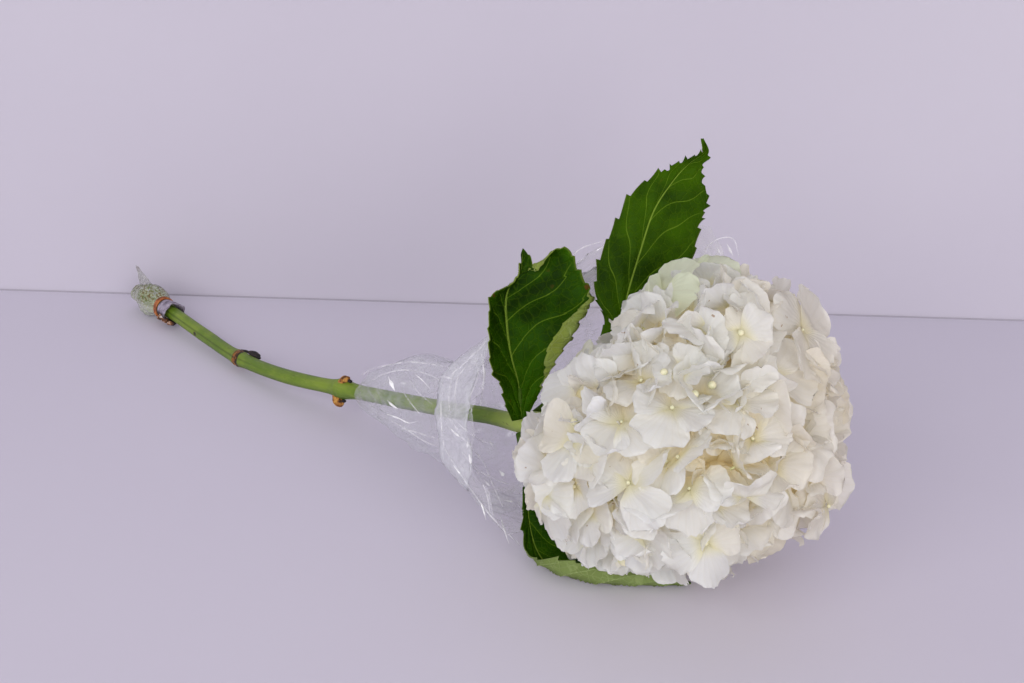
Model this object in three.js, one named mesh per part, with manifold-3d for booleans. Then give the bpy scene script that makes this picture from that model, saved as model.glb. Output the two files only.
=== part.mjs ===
// A cut white hydrangea, laid down on a table: a green stem with its swollen joints, three leaves, one
// big head of four-petalled florets, a clear film sleeve, and a small film bag of water on the cut end.
// Millimetres. X runs along the stem towards the bloom, Z is up, and the origin is the point of the
// table under the middle of the bloom, where the pressed petals make a small flat spot.

import * as THREE from "three";
import { mergeVertices } from "three/addons/utils/BufferGeometryUtils.js";
import Module from "manifold-3d";

const wasm = await Module();
wasm.setup();

// Driving dimensions
const CLEARANCE = 0.35; // between pieces that touch
const LEAF_ROOM = 0.6; // clearance round a leaf, whose edge is toothed
const BLADE = 0.9; // thickness of a leaf's blade
const FILM = 0.8; // thickness of the film pieces, thicker than life
const PETAL = 1.1; // thickness of a petal, thicker than life
const STEM_RADIUS = 4.7;
const STEM_SIDES = 10;
const STEM_STEPS = 27;
const BLOOM_CENTRE = new THREE.Vector3(2, -1, 80);
const BLOOM_RADII = new THREE.Vector3(79, 84, 80);
const CORE_SHARE = 0.78; // radius of the head's inner mass, as a share of the bloom's
const CORE_GRID = [16, 10]; // its facets round and from pole to pole
const PRESSED_SHARE = 1.06; // the same share straight below, where the table cuts it flat
const PRESSED_FROM_TO = [0.86, 0.97]; // where that begins and is full, as the cosine from straight down
const FLORETS = 60; // spots on the whole ball; those at the stem and on the table are left out
const STEM_SIDE = -0.8; // florets end here towards the stem, as the cosine from the bloom's middle
const TABLE_SIDE = -0.87; // and here towards the table
const PETAL_LENGTH = 24;
const PETAL_WIDTH = 21;
const FLORET_TILT = 0.45; // how far a floret leans at random, as a share of its distance
const FLORET_SINK = 3; // how far a floret's middle lies inside the bloom's outline
const STALK_SINK = 4; // how far its stalk's root is sunk in the head
const PETAL_CUP = 3; // a petal's ends stand up or hang down by as much as this
const SEED = 7;

// The stem's middle line, from the cut end to inside the head
const STEM_LINE = [
  [-528, 12.5, 10.2],
  [-482, 7.4, 10.4],
  [-430, 0.5, 8.6],
  [-380.4, -6, 8],
  [-326.7, -8.6, 12],
  [-268.8, -6.6, 20],
  [-174.3, -9.5, 38],
  [-134.3, -11.3, 47],
  [-100.6, -15, 55],
  [-60, -8, 68],
  [-40, -4, 74],
];

// Swollen joints of the stem: where each lies along X, how much thicker it is and over what length
const STEM_JOINTS = [
  { x: -380.4, swell: 0.9, length: 7 },
  { x: -268.8, swell: 1.6, length: 9 },
  { x: -99, swell: 1.5, length: 11 },
];

// The bloom's lobes and hollows: direction from its middle, height in mm, spread in degrees
const LOBES = [
  { toward: [-0.55, -0.72, -0.62], height: 11, spread: 32 },
  { toward: [0.32, 0.79, 0.5], height: 6, spread: 34 },
  { toward: [-0.26, 0.26, 0.93], height: 6, spread: 26 },
  { toward: [-0.71, -0.71, 0.05], height: 5, spread: 26 },
  { toward: [0.7, 0.7, -0.1], height: 4, spread: 40 },
  { toward: [-0.65, -0.24, 0.72], height: -17, spread: 30 },
  { toward: [-0.28, -0.81, 0.52], height: -6, spread: 15 },
  { toward: [0.1, -0.62, 0.78], height: -6, spread: 15 },
  { toward: [0.62, -0.34, 0.71], height: -7, spread: 15 },
  { toward: [0.85, 0.2, 0.3], height: -6, spread: 16 },
];

// Leaves. A station is a point of the midrib with, for the left and the right half there: the width in mm,
// how far the side veins lean towards the tip, how far the half bends towards its upper side, and how far
// its margin curls on from there, in degrees.
const TALL_LEAF = {
  petiole: [
    [-97, -9.5, 58.5],
    [-90, -7.5, 67],
    [-79, -1, 84],
    [-66, 17, 112],
    [-64.5, 30, 134],
  ],
  petioleRadius: [2.5, 1.0],
  facing: [0.76, -0.55, 0.37],
  bendShare: 1,
  curlFrom: 0.6,
  steps: 26,
  halfSteps: 4,
  stations: [
    { at: [-71, 6, 97], left: [5, 15, -10, 0], right: [6, 15, -10, 0] },
    { at: [-66, 17, 112], left: [20, 18, -20, 0], right: [20, 18, -15, 0] },
    { at: [-63.5, 28, 130], left: [22, 22, -25, 0], right: [29, 20, -15, 0] },
    { at: [-65.5, 39, 149], left: [21, 32, -25, 0], right: [32, 20, -15, 0] },
    { at: [-67.7, 52, 169], left: [16, 36, -25, 0], right: [29, 20, -20, 0] },
    { at: [-66.2, 65, 183], left: [8.5, 34, -25, 0], right: [23, 18, -20, 0] },
    { at: [-64, 76, 191.5], left: [3, 30, -25, 0], right: [9, 20, -20, 0] },
    { at: [-62.5, 83, 198], left: [1.6, 30, -20, 0], right: [3, 20, -20, 0] },
    { at: [-64, 88, 203.5], left: [0.8, 20, -20, 0], right: [0.8, 20, -20, 0] },
  ],
};
const LEFT_LEAF = {
  petiole: [
    [-101, -19, 60.5],
    [-97, -21, 66],
    [-95.5, -22.5, 76],
    [-97, -24, 92],
    [-101, -24.5, 105],
  ],
  petioleRadius: [2.6, 1.0],
  facing: [0.66, -0.66, 0.37],
  bendShare: 0.4,
  curlFrom: 0.55,
  steps: 24,
  halfSteps: 5,
  stations: [
    { at: [-95.8, -21.5, 69], left: [6, 5, 50, 20], right: [6, 10, 20, 20] },
    { at: [-96, -23.4, 84], left: [18, 5, 60, 90], right: [26, 6, 0, 110] },
    { at: [-99.4, -25.2, 98.3], left: [27, 6, 72, 60], right: [43, 10, 8, 120] },
    { at: [-103.9, -23.7, 111.8], left: [28, 0, 78, 30], right: [51, 16, 16, 60] },
    { at: [-109.1, -18.3, 122.4], left: [20, -8, 76, 10], right: [54, 20, 26, 0] },
    { at: [-113, -12, 130], left: [8, 0, 70, 0], right: [45, 26, 28, 0] },
    { at: [-114.5, -7, 135], left: [5, 10, 50, 0], right: [26, 30, 24, 0] },
    { at: [-113, -1, 140], left: [3.5, 20, 20, 0], right: [7, 25, 10, 0] },
    { at: [-109, 3, 146], left: [0.8, 20, 0, 0], right: [0.8, 20, 0, 0] },
  ],
};
const LOWER_LEAF = {
  petiole: [
    [-97, -20, 50.5],
    [-89, -26, 43],
    [-80, -33, 32],
    [-68, -42.5, 14.5],
    [-54, -50, 6],
  ],
  petioleRadius: [2.8, 1.1],
  facing: [0, 0, 1],
  bendShare: 0.8,
  curlFrom: 0.5,
  steps: 24,
  halfSteps: 5,
  stations: [
    { at: [-78, -33.5, 30], left: [6, -25, 20, 0], right: [3, 10, 10, 0] },
    { at: [-69, -42, 16], left: [18, -12, 20, 0], right: [4, 10, 20, 10] },
    { at: [-54, -50.5, 5.5], left: [27, 2, 14, 0], right: [10, 15, 40, 20] },
    { at: [-38, -53, 2.6], left: [33, 16, 8, 0], right: [21, 15, 85, 20] },
    { at: [-16, -46, 2.2], left: [32, 32, 5, 0], right: [22, 10, 115, 20] },
    { at: [3, -31, 2.2], left: [22, 40, 5, 0], right: [15, 10, 105, 10] },
    { at: [14, -20, 2.2], left: [8, 40, 0, 0], right: [6, 10, 60, 0] },
    { at: [20, -13, 2.2], left: [0.8, 0, 0, 0], right: [0.8, 0, 0, 0] },
  ],
};
const TOOTH = 1.7; // how far a leaf's teeth stand out
const NARROWEST = 0.7; // half width of a leaf's very ends
const PETIOLE_SIDES = 6;
const PETIOLE_STEPS = 8;

// The film sleeve: a funnel round the stem whose mouth is cut and torn slantwise. Angles are round the
// stem in degrees: 0 up, 90 away from the front, 180 down.
const SLEEVE_NECK_X = -250;
const SLEEVE_MOUTH = [
  [-90, -82],
  [-45, -102],
  [0, -112],
  [25, -88],
  [50, -52],
  [90, -38],
  [135, -50],
  [180, -72],
  [225, -76],
  [270, -82],
];
const SLEEVE_RADIUS = [
  [-250, 5.75],
  [-236, 12],
  [-212, 18],
  [-185, 25],
  [-165, 29],
  [-150, 32],
  [-120, 45],
  [-95, 62],
  [-70, 80],
  [-38, 96],
];
// How much wider or narrower the open part is than that, by the same angles
const SLEEVE_SPREAD = [
  [-90, 0.8],
  [-45, 0.72],
  [0, 0.84],
  [25, 1.12],
  [50, 1.28],
  [90, 1.1],
  [135, 1],
  [180, 1],
  [225, 1.02],
  [270, 0.8],
];
const SLEEVE_SIDES = 26;
const SLEEVE_STEPS = 8;
const SLEEVE_DRIFT = { from: -150, over: 110, y: 8, z: 20 }; // the open part leaves the stem's line
const SLEEVE_LAST_X = -60; // the stem leads the sleeve's middle line up to here
// Waves round the film: how deep, how many, and how they turn towards the mouth
const SLEEVE_FOLDS = [
  { depth: 0.05, count: 5, twist: 3 },
  { depth: 0.03, count: 11, twist: -9 },
];

// The water bag on the cut end, its rubber band and its cuff, placed along the stem by X
const BAG = { endX: -541, neckX: -497, collarX: -476, radius: 13, sides: 14, steps: 9 };
const BAG_HANG = { lift: 2.5, pinch: 2.5, lowest: 0.2 }; // its middle rises, its end draws in
const BAG_BELLY = { fill: 2.7, early: 1.35, blunt: 0.8 }; // how soon and how far the bag widens
const BAG_WRINKLE = { depth: 0.14, count: 3, twist: 7 };
const BAG_TAIL = { back: 5, drop: 4, length: 16, sweep: 6, width: 5, taper: 0.4 }; // the twisted corner
const BAND = { x: -494.5, wire: 1.3, wireSides: 6, sides: 16 };
const CUFF = { fromX: -491, toX: -474, flare: 2.4, wall: 1.2, halfFlare: 1, sides: 18 };

const UP = new THREE.Vector3(0, 0, 1);
const vec = (list) => new THREE.Vector3(...list);
const radians = THREE.MathUtils.degToRad;
const curve = (points) => new THREE.CatmullRomCurve3(points.map(vec), false, "catmullrom", 0.5);

// Seeded random numbers from 0 to 1
function dice(seed) {
  let state = seed >>> 0;
  return () => {
    state = (state + 0x6d2b79f5) >>> 0;
    let t = Math.imul(state ^ (state >>> 15), 1 | state);
    t = (t + Math.imul(t ^ (t >>> 7), 61 | t)) ^ t;
    return ((t ^ (t >>> 14)) >>> 0) / 4294967296;
  };
}

// Reads a table of [position, value] rows with straight steps between them
function lookup(table, position) {
  if (position <= table[0][0]) return table[0][1];
  for (let i = 1; i < table.length; i++) {
    const [x0, y0] = table[i - 1];
    const [x1, y1] = table[i];
    if (position <= x1) return y0 + ((y1 - y0) * (position - x0)) / (x1 - x0);
  }
  return table.at(-1)[1];
}

// A smooth reading of evenly spaced rows of numbers, at a share from 0 to 1 of their length
function smoothRow(rows, share) {
  const last = rows.length - 1;
  const i = Math.min(Math.floor(share * last), last - 1);
  const t = share * last - i;
  const [b, c] = [rows[i], rows[i + 1]];
  const a = i > 0 ? rows[i - 1] : b.map((value, n) => 2 * value - c[n]);
  const d = i + 2 <= last ? rows[i + 2] : c.map((value, n) => 2 * value - b[n]);
  return b.map((start, n) => {
    const slope = c[n] - a[n];
    const bend = 2 * a[n] - 5 * start + 4 * c[n] - d[n];
    const twist = 3 * start - 3 * c[n] + d[n] - a[n];
    return 0.5 * (2 * start + slope * t + bend * t * t + twist * t ** 3);
  });
}

function geometryOf(points, triangles) {
  const flat = new Float32Array(points.flatMap((p) => [p.x, p.y, p.z]));
  const geometry = new THREE.BufferGeometry();
  geometry.setAttribute("position", new THREE.BufferAttribute(flat, 3));
  geometry.setIndex(triangles.flat());
  return geometry;
}

function solidOf(geometry) {
  const bare = new THREE.BufferGeometry();
  bare.setAttribute("position", geometry.getAttribute("position"));
  bare.setIndex(geometry.index);
  const merged = mergeVertices(bare, 1e-4);
  const vertProperties = new Float32Array(merged.getAttribute("position").array);
  const triVerts = new Uint32Array(merged.index.array);
  return new wasm.Manifold(new wasm.Mesh({ numProp: 3, vertProperties, triVerts }));
}

// A solid back as a geometry, without the crumbs that a cut may leave
function largestPart(solid) {
  const parts = solid.decompose();
  const best = parts.reduce((a, b) => (a.volume() > b.volume() ? a : b));
  const { vertProperties, triVerts } = best.getMesh();
  const geometry = new THREE.BufferGeometry();
  geometry.setAttribute("position", new THREE.BufferAttribute(new Float32Array(vertProperties), 3));
  geometry.setIndex(new THREE.BufferAttribute(new Uint32Array(triVerts), 1));
  return geometry;
}

const cutAll = (solid, cutters) => cutters.reduce((left, cutter) => left.subtract(cutter), solid);

// Joins rings of points, all alike in number, into one closed skin with a fan at each end
function loft(rings) {
  const sides = rings[0].length;
  const points = rings.flat();
  const triangles = [];
  for (let r = 0; r + 1 < rings.length; r++)
    for (let s = 0; s < sides; s++) {
      const [a, b] = [r * sides + s, r * sides + ((s + 1) % sides)];
      triangles.push([a, b, b + sides], [a, b + sides, a + sides]);
    }
  for (const end of [0, rings.length - 1]) {
    const middle = new THREE.Vector3();
    rings[end].forEach((p) => middle.addScaledVector(p, 1 / sides));
    const hub = points.push(middle) - 1;
    for (let s = 0; s < sides; s++) {
      const [a, b] = [end * sides + s, end * sides + ((s + 1) % sides)];
      triangles.push(end === 0 ? [hub, b, a] : [hub, a, b]);
    }
  }
  return geometryOf(points, triangles);
}

// Two directions square to a line, the first as near to UP as it can be
function crossAxes(along) {
  const up = UP.clone().addScaledVector(along, -UP.dot(along)).normalize();
  return [up, new THREE.Vector3().crossVectors(up, along)];
}

// A ring of points round a place on a line; reach(angle) is the distance at each angle from UP
function ring(middle, along, sides, reach) {
  const [up, side] = crossAxes(along);
  return Array.from({ length: sides }, (_, s) => {
    const angle = (2 * Math.PI * s) / sides;
    const out = reach(angle);
    return middle
      .clone()
      .addScaledVector(up, out * Math.cos(angle))
      .addScaledVector(side, -out * Math.sin(angle));
  });
}

// A round rod along a smooth line, from one radius to another
function rod(points, [start, end], steps, sides) {
  const line = curve(points);
  const rings = [];
  for (let k = 0; k <= steps; k++) {
    const share = k / steps;
    const radius = start + (end - start) * share;
    rings.push(ring(line.getPoint(share), line.getTangent(share), sides, () => radius));
  }
  return loft(rings);
}

// The stem

const stemLine = curve(STEM_LINE);

function stemRadius(x) {
  const swells = STEM_JOINTS.map((j) => j.swell * Math.exp(-(((x - j.x) / j.length) ** 2)));
  return STEM_RADIUS + Math.max(...swells);
}

// The stem's middle line at a given X
function stemAt(x) {
  let [low, high] = [0, 1];
  for (let k = 0; k < 40; k++) {
    const middle = (low + high) / 2;
    if (stemLine.getPoint(middle).x < x) low = middle;
    else high = middle;
  }
  return { point: stemLine.getPoint(low), along: stemLine.getTangent(low) };
}

function stemGeometry(extra = 0) {
  const joints = STEM_JOINTS.flatMap((j) => [-1, -0.5, 0, 0.5, 1].map((s) => j.x + s * j.length));
  const [first, last] = [STEM_LINE[0][0], STEM_LINE.at(-1)[0]];
  const places = [...joints];
  for (let k = 0; k <= STEM_STEPS; k++) {
    const x = first + ((last - first) * k) / STEM_STEPS;
    if (joints.every((joint) => Math.abs(joint - x) > 3)) places.push(x);
  }
  places.sort((a, b) => a - b);
  const rings = places.map((x) => {
    const { point, along } = stemAt(x);
    if (x === first) point.addScaledVector(along, -extra);
    if (x === last) point.addScaledVector(along, extra);
    return ring(point, along, STEM_SIDES, () => stemRadius(x) + extra);
  });
  return loft(rings);
}

// Leaves

// Rows of points from the left margin over the midrib to the right one, from the base to the tip. Extra
// widens the sheet on every side and fills the gaps between its teeth, for the room that it needs.
function bladeRows(leaf, extra = 0) {
  const spine = curve(leaf.stations.map((s) => s.at));
  const facing = vec(leaf.facing);
  const numbers = leaf.stations.map((s) => [...s.left, ...s.right]);
  const rows = [];
  for (let k = 0; k <= leaf.steps; k++) {
    const share = k / leaf.steps;
    const along = spine.getTangent(share);
    const side = new THREE.Vector3().crossVectors(along, facing).normalize();
    const upper = new THREE.Vector3().crossVectors(side, along);
    const row = smoothRow(numbers, share);
    const overhang = k === 0 ? -extra : k === leaf.steps ? extra : 0;
    const tooth = extra || (k % 2 && k > 1 && k < leaf.steps - 1) ? TOOTH : 0;
    const halves = [-1, 1].map((sign) => {
      const [width, lean, bend, curl] = row.slice(sign < 0 ? 0 : 4, sign < 0 ? 4 : 8);
      const points = [spine.getPoint(share).addScaledVector(along, overhang)];
      for (let n = 0; n < leaf.halfSteps; n++) {
        const middle = (n + 0.5) / leaf.halfSteps;
        const bent = bend * Math.min(1, middle / leaf.bendShare);
        const curled = curl * Math.max(0, (middle - leaf.curlFrom) / (1 - leaf.curlFrom));
        const turn = radians(bent + curled);
        const heading = side.clone().multiplyScalar(sign * Math.cos(turn));
        heading.addScaledVector(upper, Math.sin(turn)).multiplyScalar(Math.cos(radians(lean)));
        heading.addScaledVector(along, Math.sin(radians(lean)));
        const last = n === leaf.halfSteps - 1;
        const step = Math.max(width, NARROWEST) / leaf.halfSteps + (last ? tooth + extra : 0);
        const next = points.at(-1).clone().addScaledVector(heading, step);
        next.z = Math.max(next.z, BLADE);
        points.push(next);
      }
      return points;
    });
    rows.push([...halves[0].reverse(), ...halves[1].slice(1)]);
  }
  return rows;
}

// Gives a sheet of points its thickness. Both faces are split into triangles alike, so they never cross.
function slab(rows, thickness, round = false) {
  const [count, width] = [rows.length, rows[0].length];
  const clamp = THREE.MathUtils.clamp;
  const at = (r, c) => rows[round ? (r + count) % count : clamp(r, 0, count - 1)][clamp(c, 0, width - 1)];
  const points = [];
  for (const sign of [1, -1])
    for (let r = 0; r < count; r++)
      for (let c = 0; c < width; c++) {
        const down = at(r + 1, c).clone().sub(at(r - 1, c));
        const across = at(r, c + 1).clone().sub(at(r, c - 1));
        const out = across.cross(down).normalize();
        points.push(at(r, c).clone().addScaledVector(out, (sign * thickness) / 2));
      }
  const top = (r, c) => (r % count) * width + c;
  const under = (r, c) => top(r, c) + count * width;
  const triangles = [];
  const quad = (a, b, c, d) => triangles.push([a, b, c], [a, c, d]);
  const rowsToJoin = round ? count : count - 1;
  for (let r = 0; r < rowsToJoin; r++)
    for (let c = 0; c + 1 < width; c++) {
      quad(top(r, c), top(r, c + 1), top(r + 1, c + 1), top(r + 1, c));
      triangles.push([under(r, c), under(r + 1, c + 1), under(r, c + 1)]);
      triangles.push([under(r, c), under(r + 1, c), under(r + 1, c + 1)]);
    }
  for (let r = 0; r < rowsToJoin; r++) {
    quad(top(r, 0), top(r + 1, 0), under(r + 1, 0), under(r, 0));
    quad(top(r + 1, width - 1), top(r, width - 1), under(r, width - 1), under(r + 1, width - 1));
  }
  if (!round)
    for (let c = 0; c + 1 < width; c++) {
      quad(top(0, c + 1), top(0, c), under(0, c), under(0, c + 1));
      quad(top(count - 1, c), top(count - 1, c + 1), under(count - 1, c + 1), under(count - 1, c));
    }
  return geometryOf(points, triangles);
}

function leafSolid(leaf, extra = 0) {
  const blade = solidOf(slab(bladeRows(leaf, extra), BLADE + 2 * extra));
  const radii = leaf.petioleRadius.map((r) => r + extra);
  return blade.add(solidOf(rod(leaf.petiole, radii, PETIOLE_STEPS, PETIOLE_SIDES)));
}

// The bloom

function bloomRadius(direction) {
  const d = direction.clone().divide(BLOOM_RADII);
  let radius = 1 / d.length();
  for (const lobe of LOBES) {
    const apart = THREE.MathUtils.radToDeg(direction.angleTo(vec(lobe.toward)));
    radius += lobe.height * Math.exp(-((apart / lobe.spread) ** 2));
  }
  return radius;
}

// The head's inner mass: a smaller copy of the bloom, drawn down to the table where the petals are pressed
function bloomCore() {
  const ball = new THREE.SphereGeometry(1, ...CORE_GRID).rotateX(Math.PI / 2);
  const position = ball.getAttribute("position");
  const point = new THREE.Vector3();
  for (let i = 0; i < position.count; i++) {
    const direction = point.fromBufferAttribute(position, i).normalize().clone();
    const pressed = THREE.MathUtils.smoothstep(-direction.z, ...PRESSED_FROM_TO);
    const share = CORE_SHARE + (PRESSED_SHARE - CORE_SHARE) * pressed;
    point.copy(direction).multiplyScalar(share * bloomRadius(direction)).add(BLOOM_CENTRE);
    position.setXYZ(i, point.x, point.y, point.z);
  }
  return solidOf(ball);
}

// A petal's corners from one notch to the next, as shares of its length and of its half width
const PETAL_CORNERS = [
  [0.3, -0.62],
  [0.62, -0.96],
  [0.95, -0.55],
  [0.98, 0.5],
  [0.64, 0.96],
];
const STALK_RADIUS = 2.2;

// One floret: a thin four-lobed blade, each lobe a petal, that narrows below into a four-sided stalk whose
// root is sunk in the head
function floret(direction, random) {
  const radius = bloomRadius(direction);
  const place = direction.clone().multiplyScalar(radius - FLORET_SINK).add(BLOOM_CENTRE);
  const root = direction.clone().multiplyScalar(CORE_SHARE * radius - STALK_SINK).add(BLOOM_CENTRE);
  const tilt = vec([random() - 0.5, random() - 0.5, random() - 0.5]);
  const out = direction.clone().addScaledVector(tilt, FLORET_TILT).normalize();
  const [first] = crossAxes(out);
  const second = new THREE.Vector3().crossVectors(out, first);
  const spin = random() * Math.PI;
  const corners = [];
  const neck = [];
  for (let n = 0; n < 4; n++) {
    const angle = spin + (n * Math.PI) / 2;
    const along = first.clone().multiplyScalar(Math.cos(angle)).addScaledVector(second, Math.sin(angle));
    const across = new THREE.Vector3().crossVectors(out, along);
    const scale = 0.9 + 0.2 * random();
    const cup = PETAL_CUP * (2 * random() - 1);
    for (const [l, w] of PETAL_CORNERS) {
      const corner = place.clone().addScaledVector(along, l * scale * PETAL_LENGTH);
      corner.addScaledVector(across, (w * scale * PETAL_WIDTH) / 2);
      corners.push(corner.addScaledVector(out, cup * l * l));
    }
    neck.push(along.multiplyScalar(STALK_RADIUS));
  }
  const count = corners.length;
  const lowered = (point, drop) => point.clone().addScaledVector(out, -drop);
  const points = [
    ...corners.map((corner) => lowered(corner, -PETAL / 2)),
    ...corners.map((corner) => lowered(corner, PETAL / 2)),
    ...neck.map((offset) => lowered(place, PETAL).add(offset)),
    ...neck.map((offset) => root.clone().add(offset)),
    lowered(place, -PETAL / 2),
    root,
  ];
  const [necks, roots, hub, tail] = [2 * count, 2 * count + 4, 2 * count + 8, 2 * count + 9];
  const triangles = [];
  for (let i = 0; i < count; i++) {
    const next = (i + 1) % count;
    const petal = Math.floor(i / PETAL_CORNERS.length);
    triangles.push([hub, i, next], [i, i + count, next + count], [i, next + count, next]);
    triangles.push([necks + petal, next + count, i + count]);
  }
  for (let n = 0; n < 4; n++) {
    const next = (n + 1) % 4;
    triangles.push([necks + n, necks + next, count + next * PETAL_CORNERS.length]);
    triangles.push([necks + n, roots + n, roots + next], [necks + n, roots + next, necks + next]);
    triangles.push([roots + n, tail, roots + next]);
  }
  return solidOf(geometryOf(points, triangles));
}

function bloomSolid(cutters) {
  const random = dice(SEED);
  const golden = Math.PI * (3 - Math.sqrt(5));
  const parts = [bloomCore()];
  for (let i = 0; i < FLORETS; i++) {
    const x = 1 - (2 * (i + 0.5)) / FLORETS;
    const r = Math.sqrt(1 - x * x);
    const direction = new THREE.Vector3(x, r * Math.cos(i * golden), r * Math.sin(i * golden));
    if (direction.x < STEM_SIDE || direction.z < TABLE_SIDE) continue;
    parts.push(floret(direction, random));
  }
  const aboveTable = new THREE.BoxGeometry(400, 400, 300).translate(0, 0, 150);
  return cutAll(wasm.Manifold.union(parts).intersect(solidOf(aboveTable)), cutters);
}

// The film sleeve

function sleeveRows() {
  const rows = [];
  for (let s = 0; s < SLEEVE_SIDES; s++) {
    const turn = (360 * s) / SLEEVE_SIDES;
    const angle = radians(turn);
    const place = turn > 270 ? turn - 360 : turn;
    const mouth = lookup(SLEEVE_MOUTH, place);
    const row = [];
    for (let k = 0; k <= SLEEVE_STEPS; k++) {
      const share = k / SLEEVE_STEPS;
      const x = SLEEVE_NECK_X + (mouth - SLEEVE_NECK_X) * share;
      const drift = Math.max(0, (x - SLEEVE_DRIFT.from) / SLEEVE_DRIFT.over);
      const middle = stemAt(Math.min(x, SLEEVE_LAST_X)).point;
      const waves = SLEEVE_FOLDS.map((f) => f.depth * Math.sin(f.count * angle + f.twist * share));
      const crumple = 1 + share * (waves[0] + waves[1]);
      const spread = 1 + (lookup(SLEEVE_SPREAD, place) - 1) * Math.min(1, 2 * drift);
      const radius = lookup(SLEEVE_RADIUS, x) * spread * crumple;
      const y = middle.y + SLEEVE_DRIFT.y * drift + radius * Math.sin(angle);
      const z = middle.z + SLEEVE_DRIFT.z * drift + radius * Math.cos(angle);
      row.push(new THREE.Vector3(x, y, Math.max(z, FILM)));
    }
    rows.push(row);
  }
  return rows;
}

// The water bag and what closes it

const BAG_NECK_RADIUS = STEM_RADIUS + CLEARANCE + FILM;

function bagSolid() {
  const cutEnd = stemAt(STEM_LINE[0][0]);
  const neck = BAG_NECK_RADIUS;
  const collar = stemAt(BAG.collarX);
  const rings = [ring(collar.point, collar.along, BAG.sides, () => neck)];
  for (let k = 0; k <= BAG.steps; k++) {
    const share = k / BAG.steps;
    const x = BAG.neckX + (BAG.endX - BAG.neckX) * share;
    const past = Math.min(0, x - STEM_LINE[0][0]);
    const { point, along } = past < 0 ? cutEnd : stemAt(x);
    const belly = Math.sin(BAG_BELLY.fill * Math.min(1, BAG_BELLY.early * share) ** BAG_BELLY.blunt);
    const middle = point.clone().addScaledVector(along, past).addScaledVector(UP, BAG_HANG.lift * belly);
    const { depth, count, twist } = BAG_WRINKLE;
    const reach = (angle) => {
      const wrinkled = belly * (1 + depth * Math.sin(count * angle + twist * share));
      return neck + (BAG.radius - neck) * wrinkled - BAG_HANG.pinch * share ** 4;
    };
    rings.push(ring(middle, along, BAG.sides, reach).map((p) => p.setZ(Math.max(p.z, BAG_HANG.lowest))));
  }
  const tip = rings[BAG.steps - 2][0];
  const { back, drop, length, sweep, width, taper } = BAG_TAIL;
  const tail = [-1, 0, 1].map((w) =>
    [0, 0.5, 1].map((l) => {
      const x = width * w * (1 - taper * l) - back - sweep * l;
      return tip.clone().add(new THREE.Vector3(x, 4 * l + 3 * w, length * l - drop - 2 * Math.abs(w)));
    }),
  );
  return solidOf(loft(rings.reverse())).add(solidOf(slab(tail, FILM)));
}

// Leftovers of side buds at the second joint, and the withered shoot at the first
const STUB_STAND = 2; // how far a leftover's middle stands off the stem
const STUBS = [
  { name: "bud_stub_upper", x: -267, turn: 12, size: [4.6, 3.4, 3.8] },
  { name: "bud_stub_lower", x: -271, turn: 196, size: [4.8, 3.6, 4.2] },
];

function stubGeometry({ x, turn, size }) {
  const { point, along } = stemAt(x);
  const [up, side] = crossAxes(along);
  const angle = radians(turn);
  const out = up.multiplyScalar(Math.cos(angle)).addScaledVector(side, -Math.sin(angle));
  const lump = new THREE.IcosahedronGeometry(1, 1).scale(...size);
  const across = new THREE.Vector3().crossVectors(out, along);
  lump.applyMatrix4(new THREE.Matrix4().makeBasis(along, across, out));
  const place = point.addScaledVector(out, stemRadius(x) + STUB_STAND);
  return lump.translate(place.x, place.y, place.z);
}

const SHOOT = {
  line: [
    [-381, -3, 12.2],
    [-376, -2.4, 13.4],
    [-370, -2.2, 13.9],
    [-365, -2.4, 13.9],
  ],
  radius: [1.3, 2.4],
  steps: 6,
  sides: 7,
};

// Turns a geometry made round Z into place on the stem at X, its own Z pointing along the stem
function onStem(geometry, x) {
  const { point, along } = stemAt(x);
  const [up, side] = crossAxes(along);
  geometry.applyMatrix4(new THREE.Matrix4().makeBasis(up, side.negate(), along));
  return geometry.translate(point.x, point.y, point.z);
}

function bandGeometry() {
  const radius = BAG_NECK_RADIUS + CLEARANCE + BAND.wire;
  return onStem(new THREE.TorusGeometry(radius, BAND.wire, BAND.wireSides, BAND.sides), BAND.x);
}

function cuffGeometry() {
  const inner = BAG_NECK_RADIUS + CLEARANCE;
  const length = CUFF.toX - CUFF.fromX;
  const profile = [
    [inner, 0],
    [inner + CUFF.wall, 0],
    [inner + CUFF.wall + CUFF.halfFlare, 0.5 * length],
    [inner + CUFF.wall + CUFF.flare, length],
    [inner + CUFF.flare, length],
    [inner + CUFF.halfFlare, 0.5 * length],
    [inner, 0],
  ];
  const outline = profile.map(([r, l]) => new THREE.Vector2(r, l));
  const lathe = new THREE.LatheGeometry(outline, CUFF.sides);
  return onStem(lathe.rotateX(Math.PI / 2), CUFF.fromX);
}

// Every piece, cut clear of its neighbours

const stemRoom = solidOf(stemGeometry(CLEARANCE));
const leaves = { leaf_tall: TALL_LEAF, leaf_left: LEFT_LEAF, leaf_lower: LOWER_LEAF };
const leafRooms = Object.values(leaves).map((leaf) => leafSolid(leaf, LEAF_ROOM));
const sleeveSheet = sleeveRows();
const sleeveRoom = solidOf(slab(sleeveSheet, FILM + 2 * CLEARANCE, true));

const part = new THREE.Group();

function addPiece(name, solid, colour, roughness, extras = {}) {
  const geometry = largestPart(solid);
  geometry.computeVertexNormals();
  const finish = { color: colour, roughness, metalness: 0, flatShading: true, ...extras };
  const material = new THREE.MeshStandardMaterial(finish);
  const mesh = new THREE.Mesh(geometry, material);
  mesh.name = name;
  part.add(mesh);
}

const clearFilm = { transparent: true, opacity: 0.25, side: THREE.DoubleSide };

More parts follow.
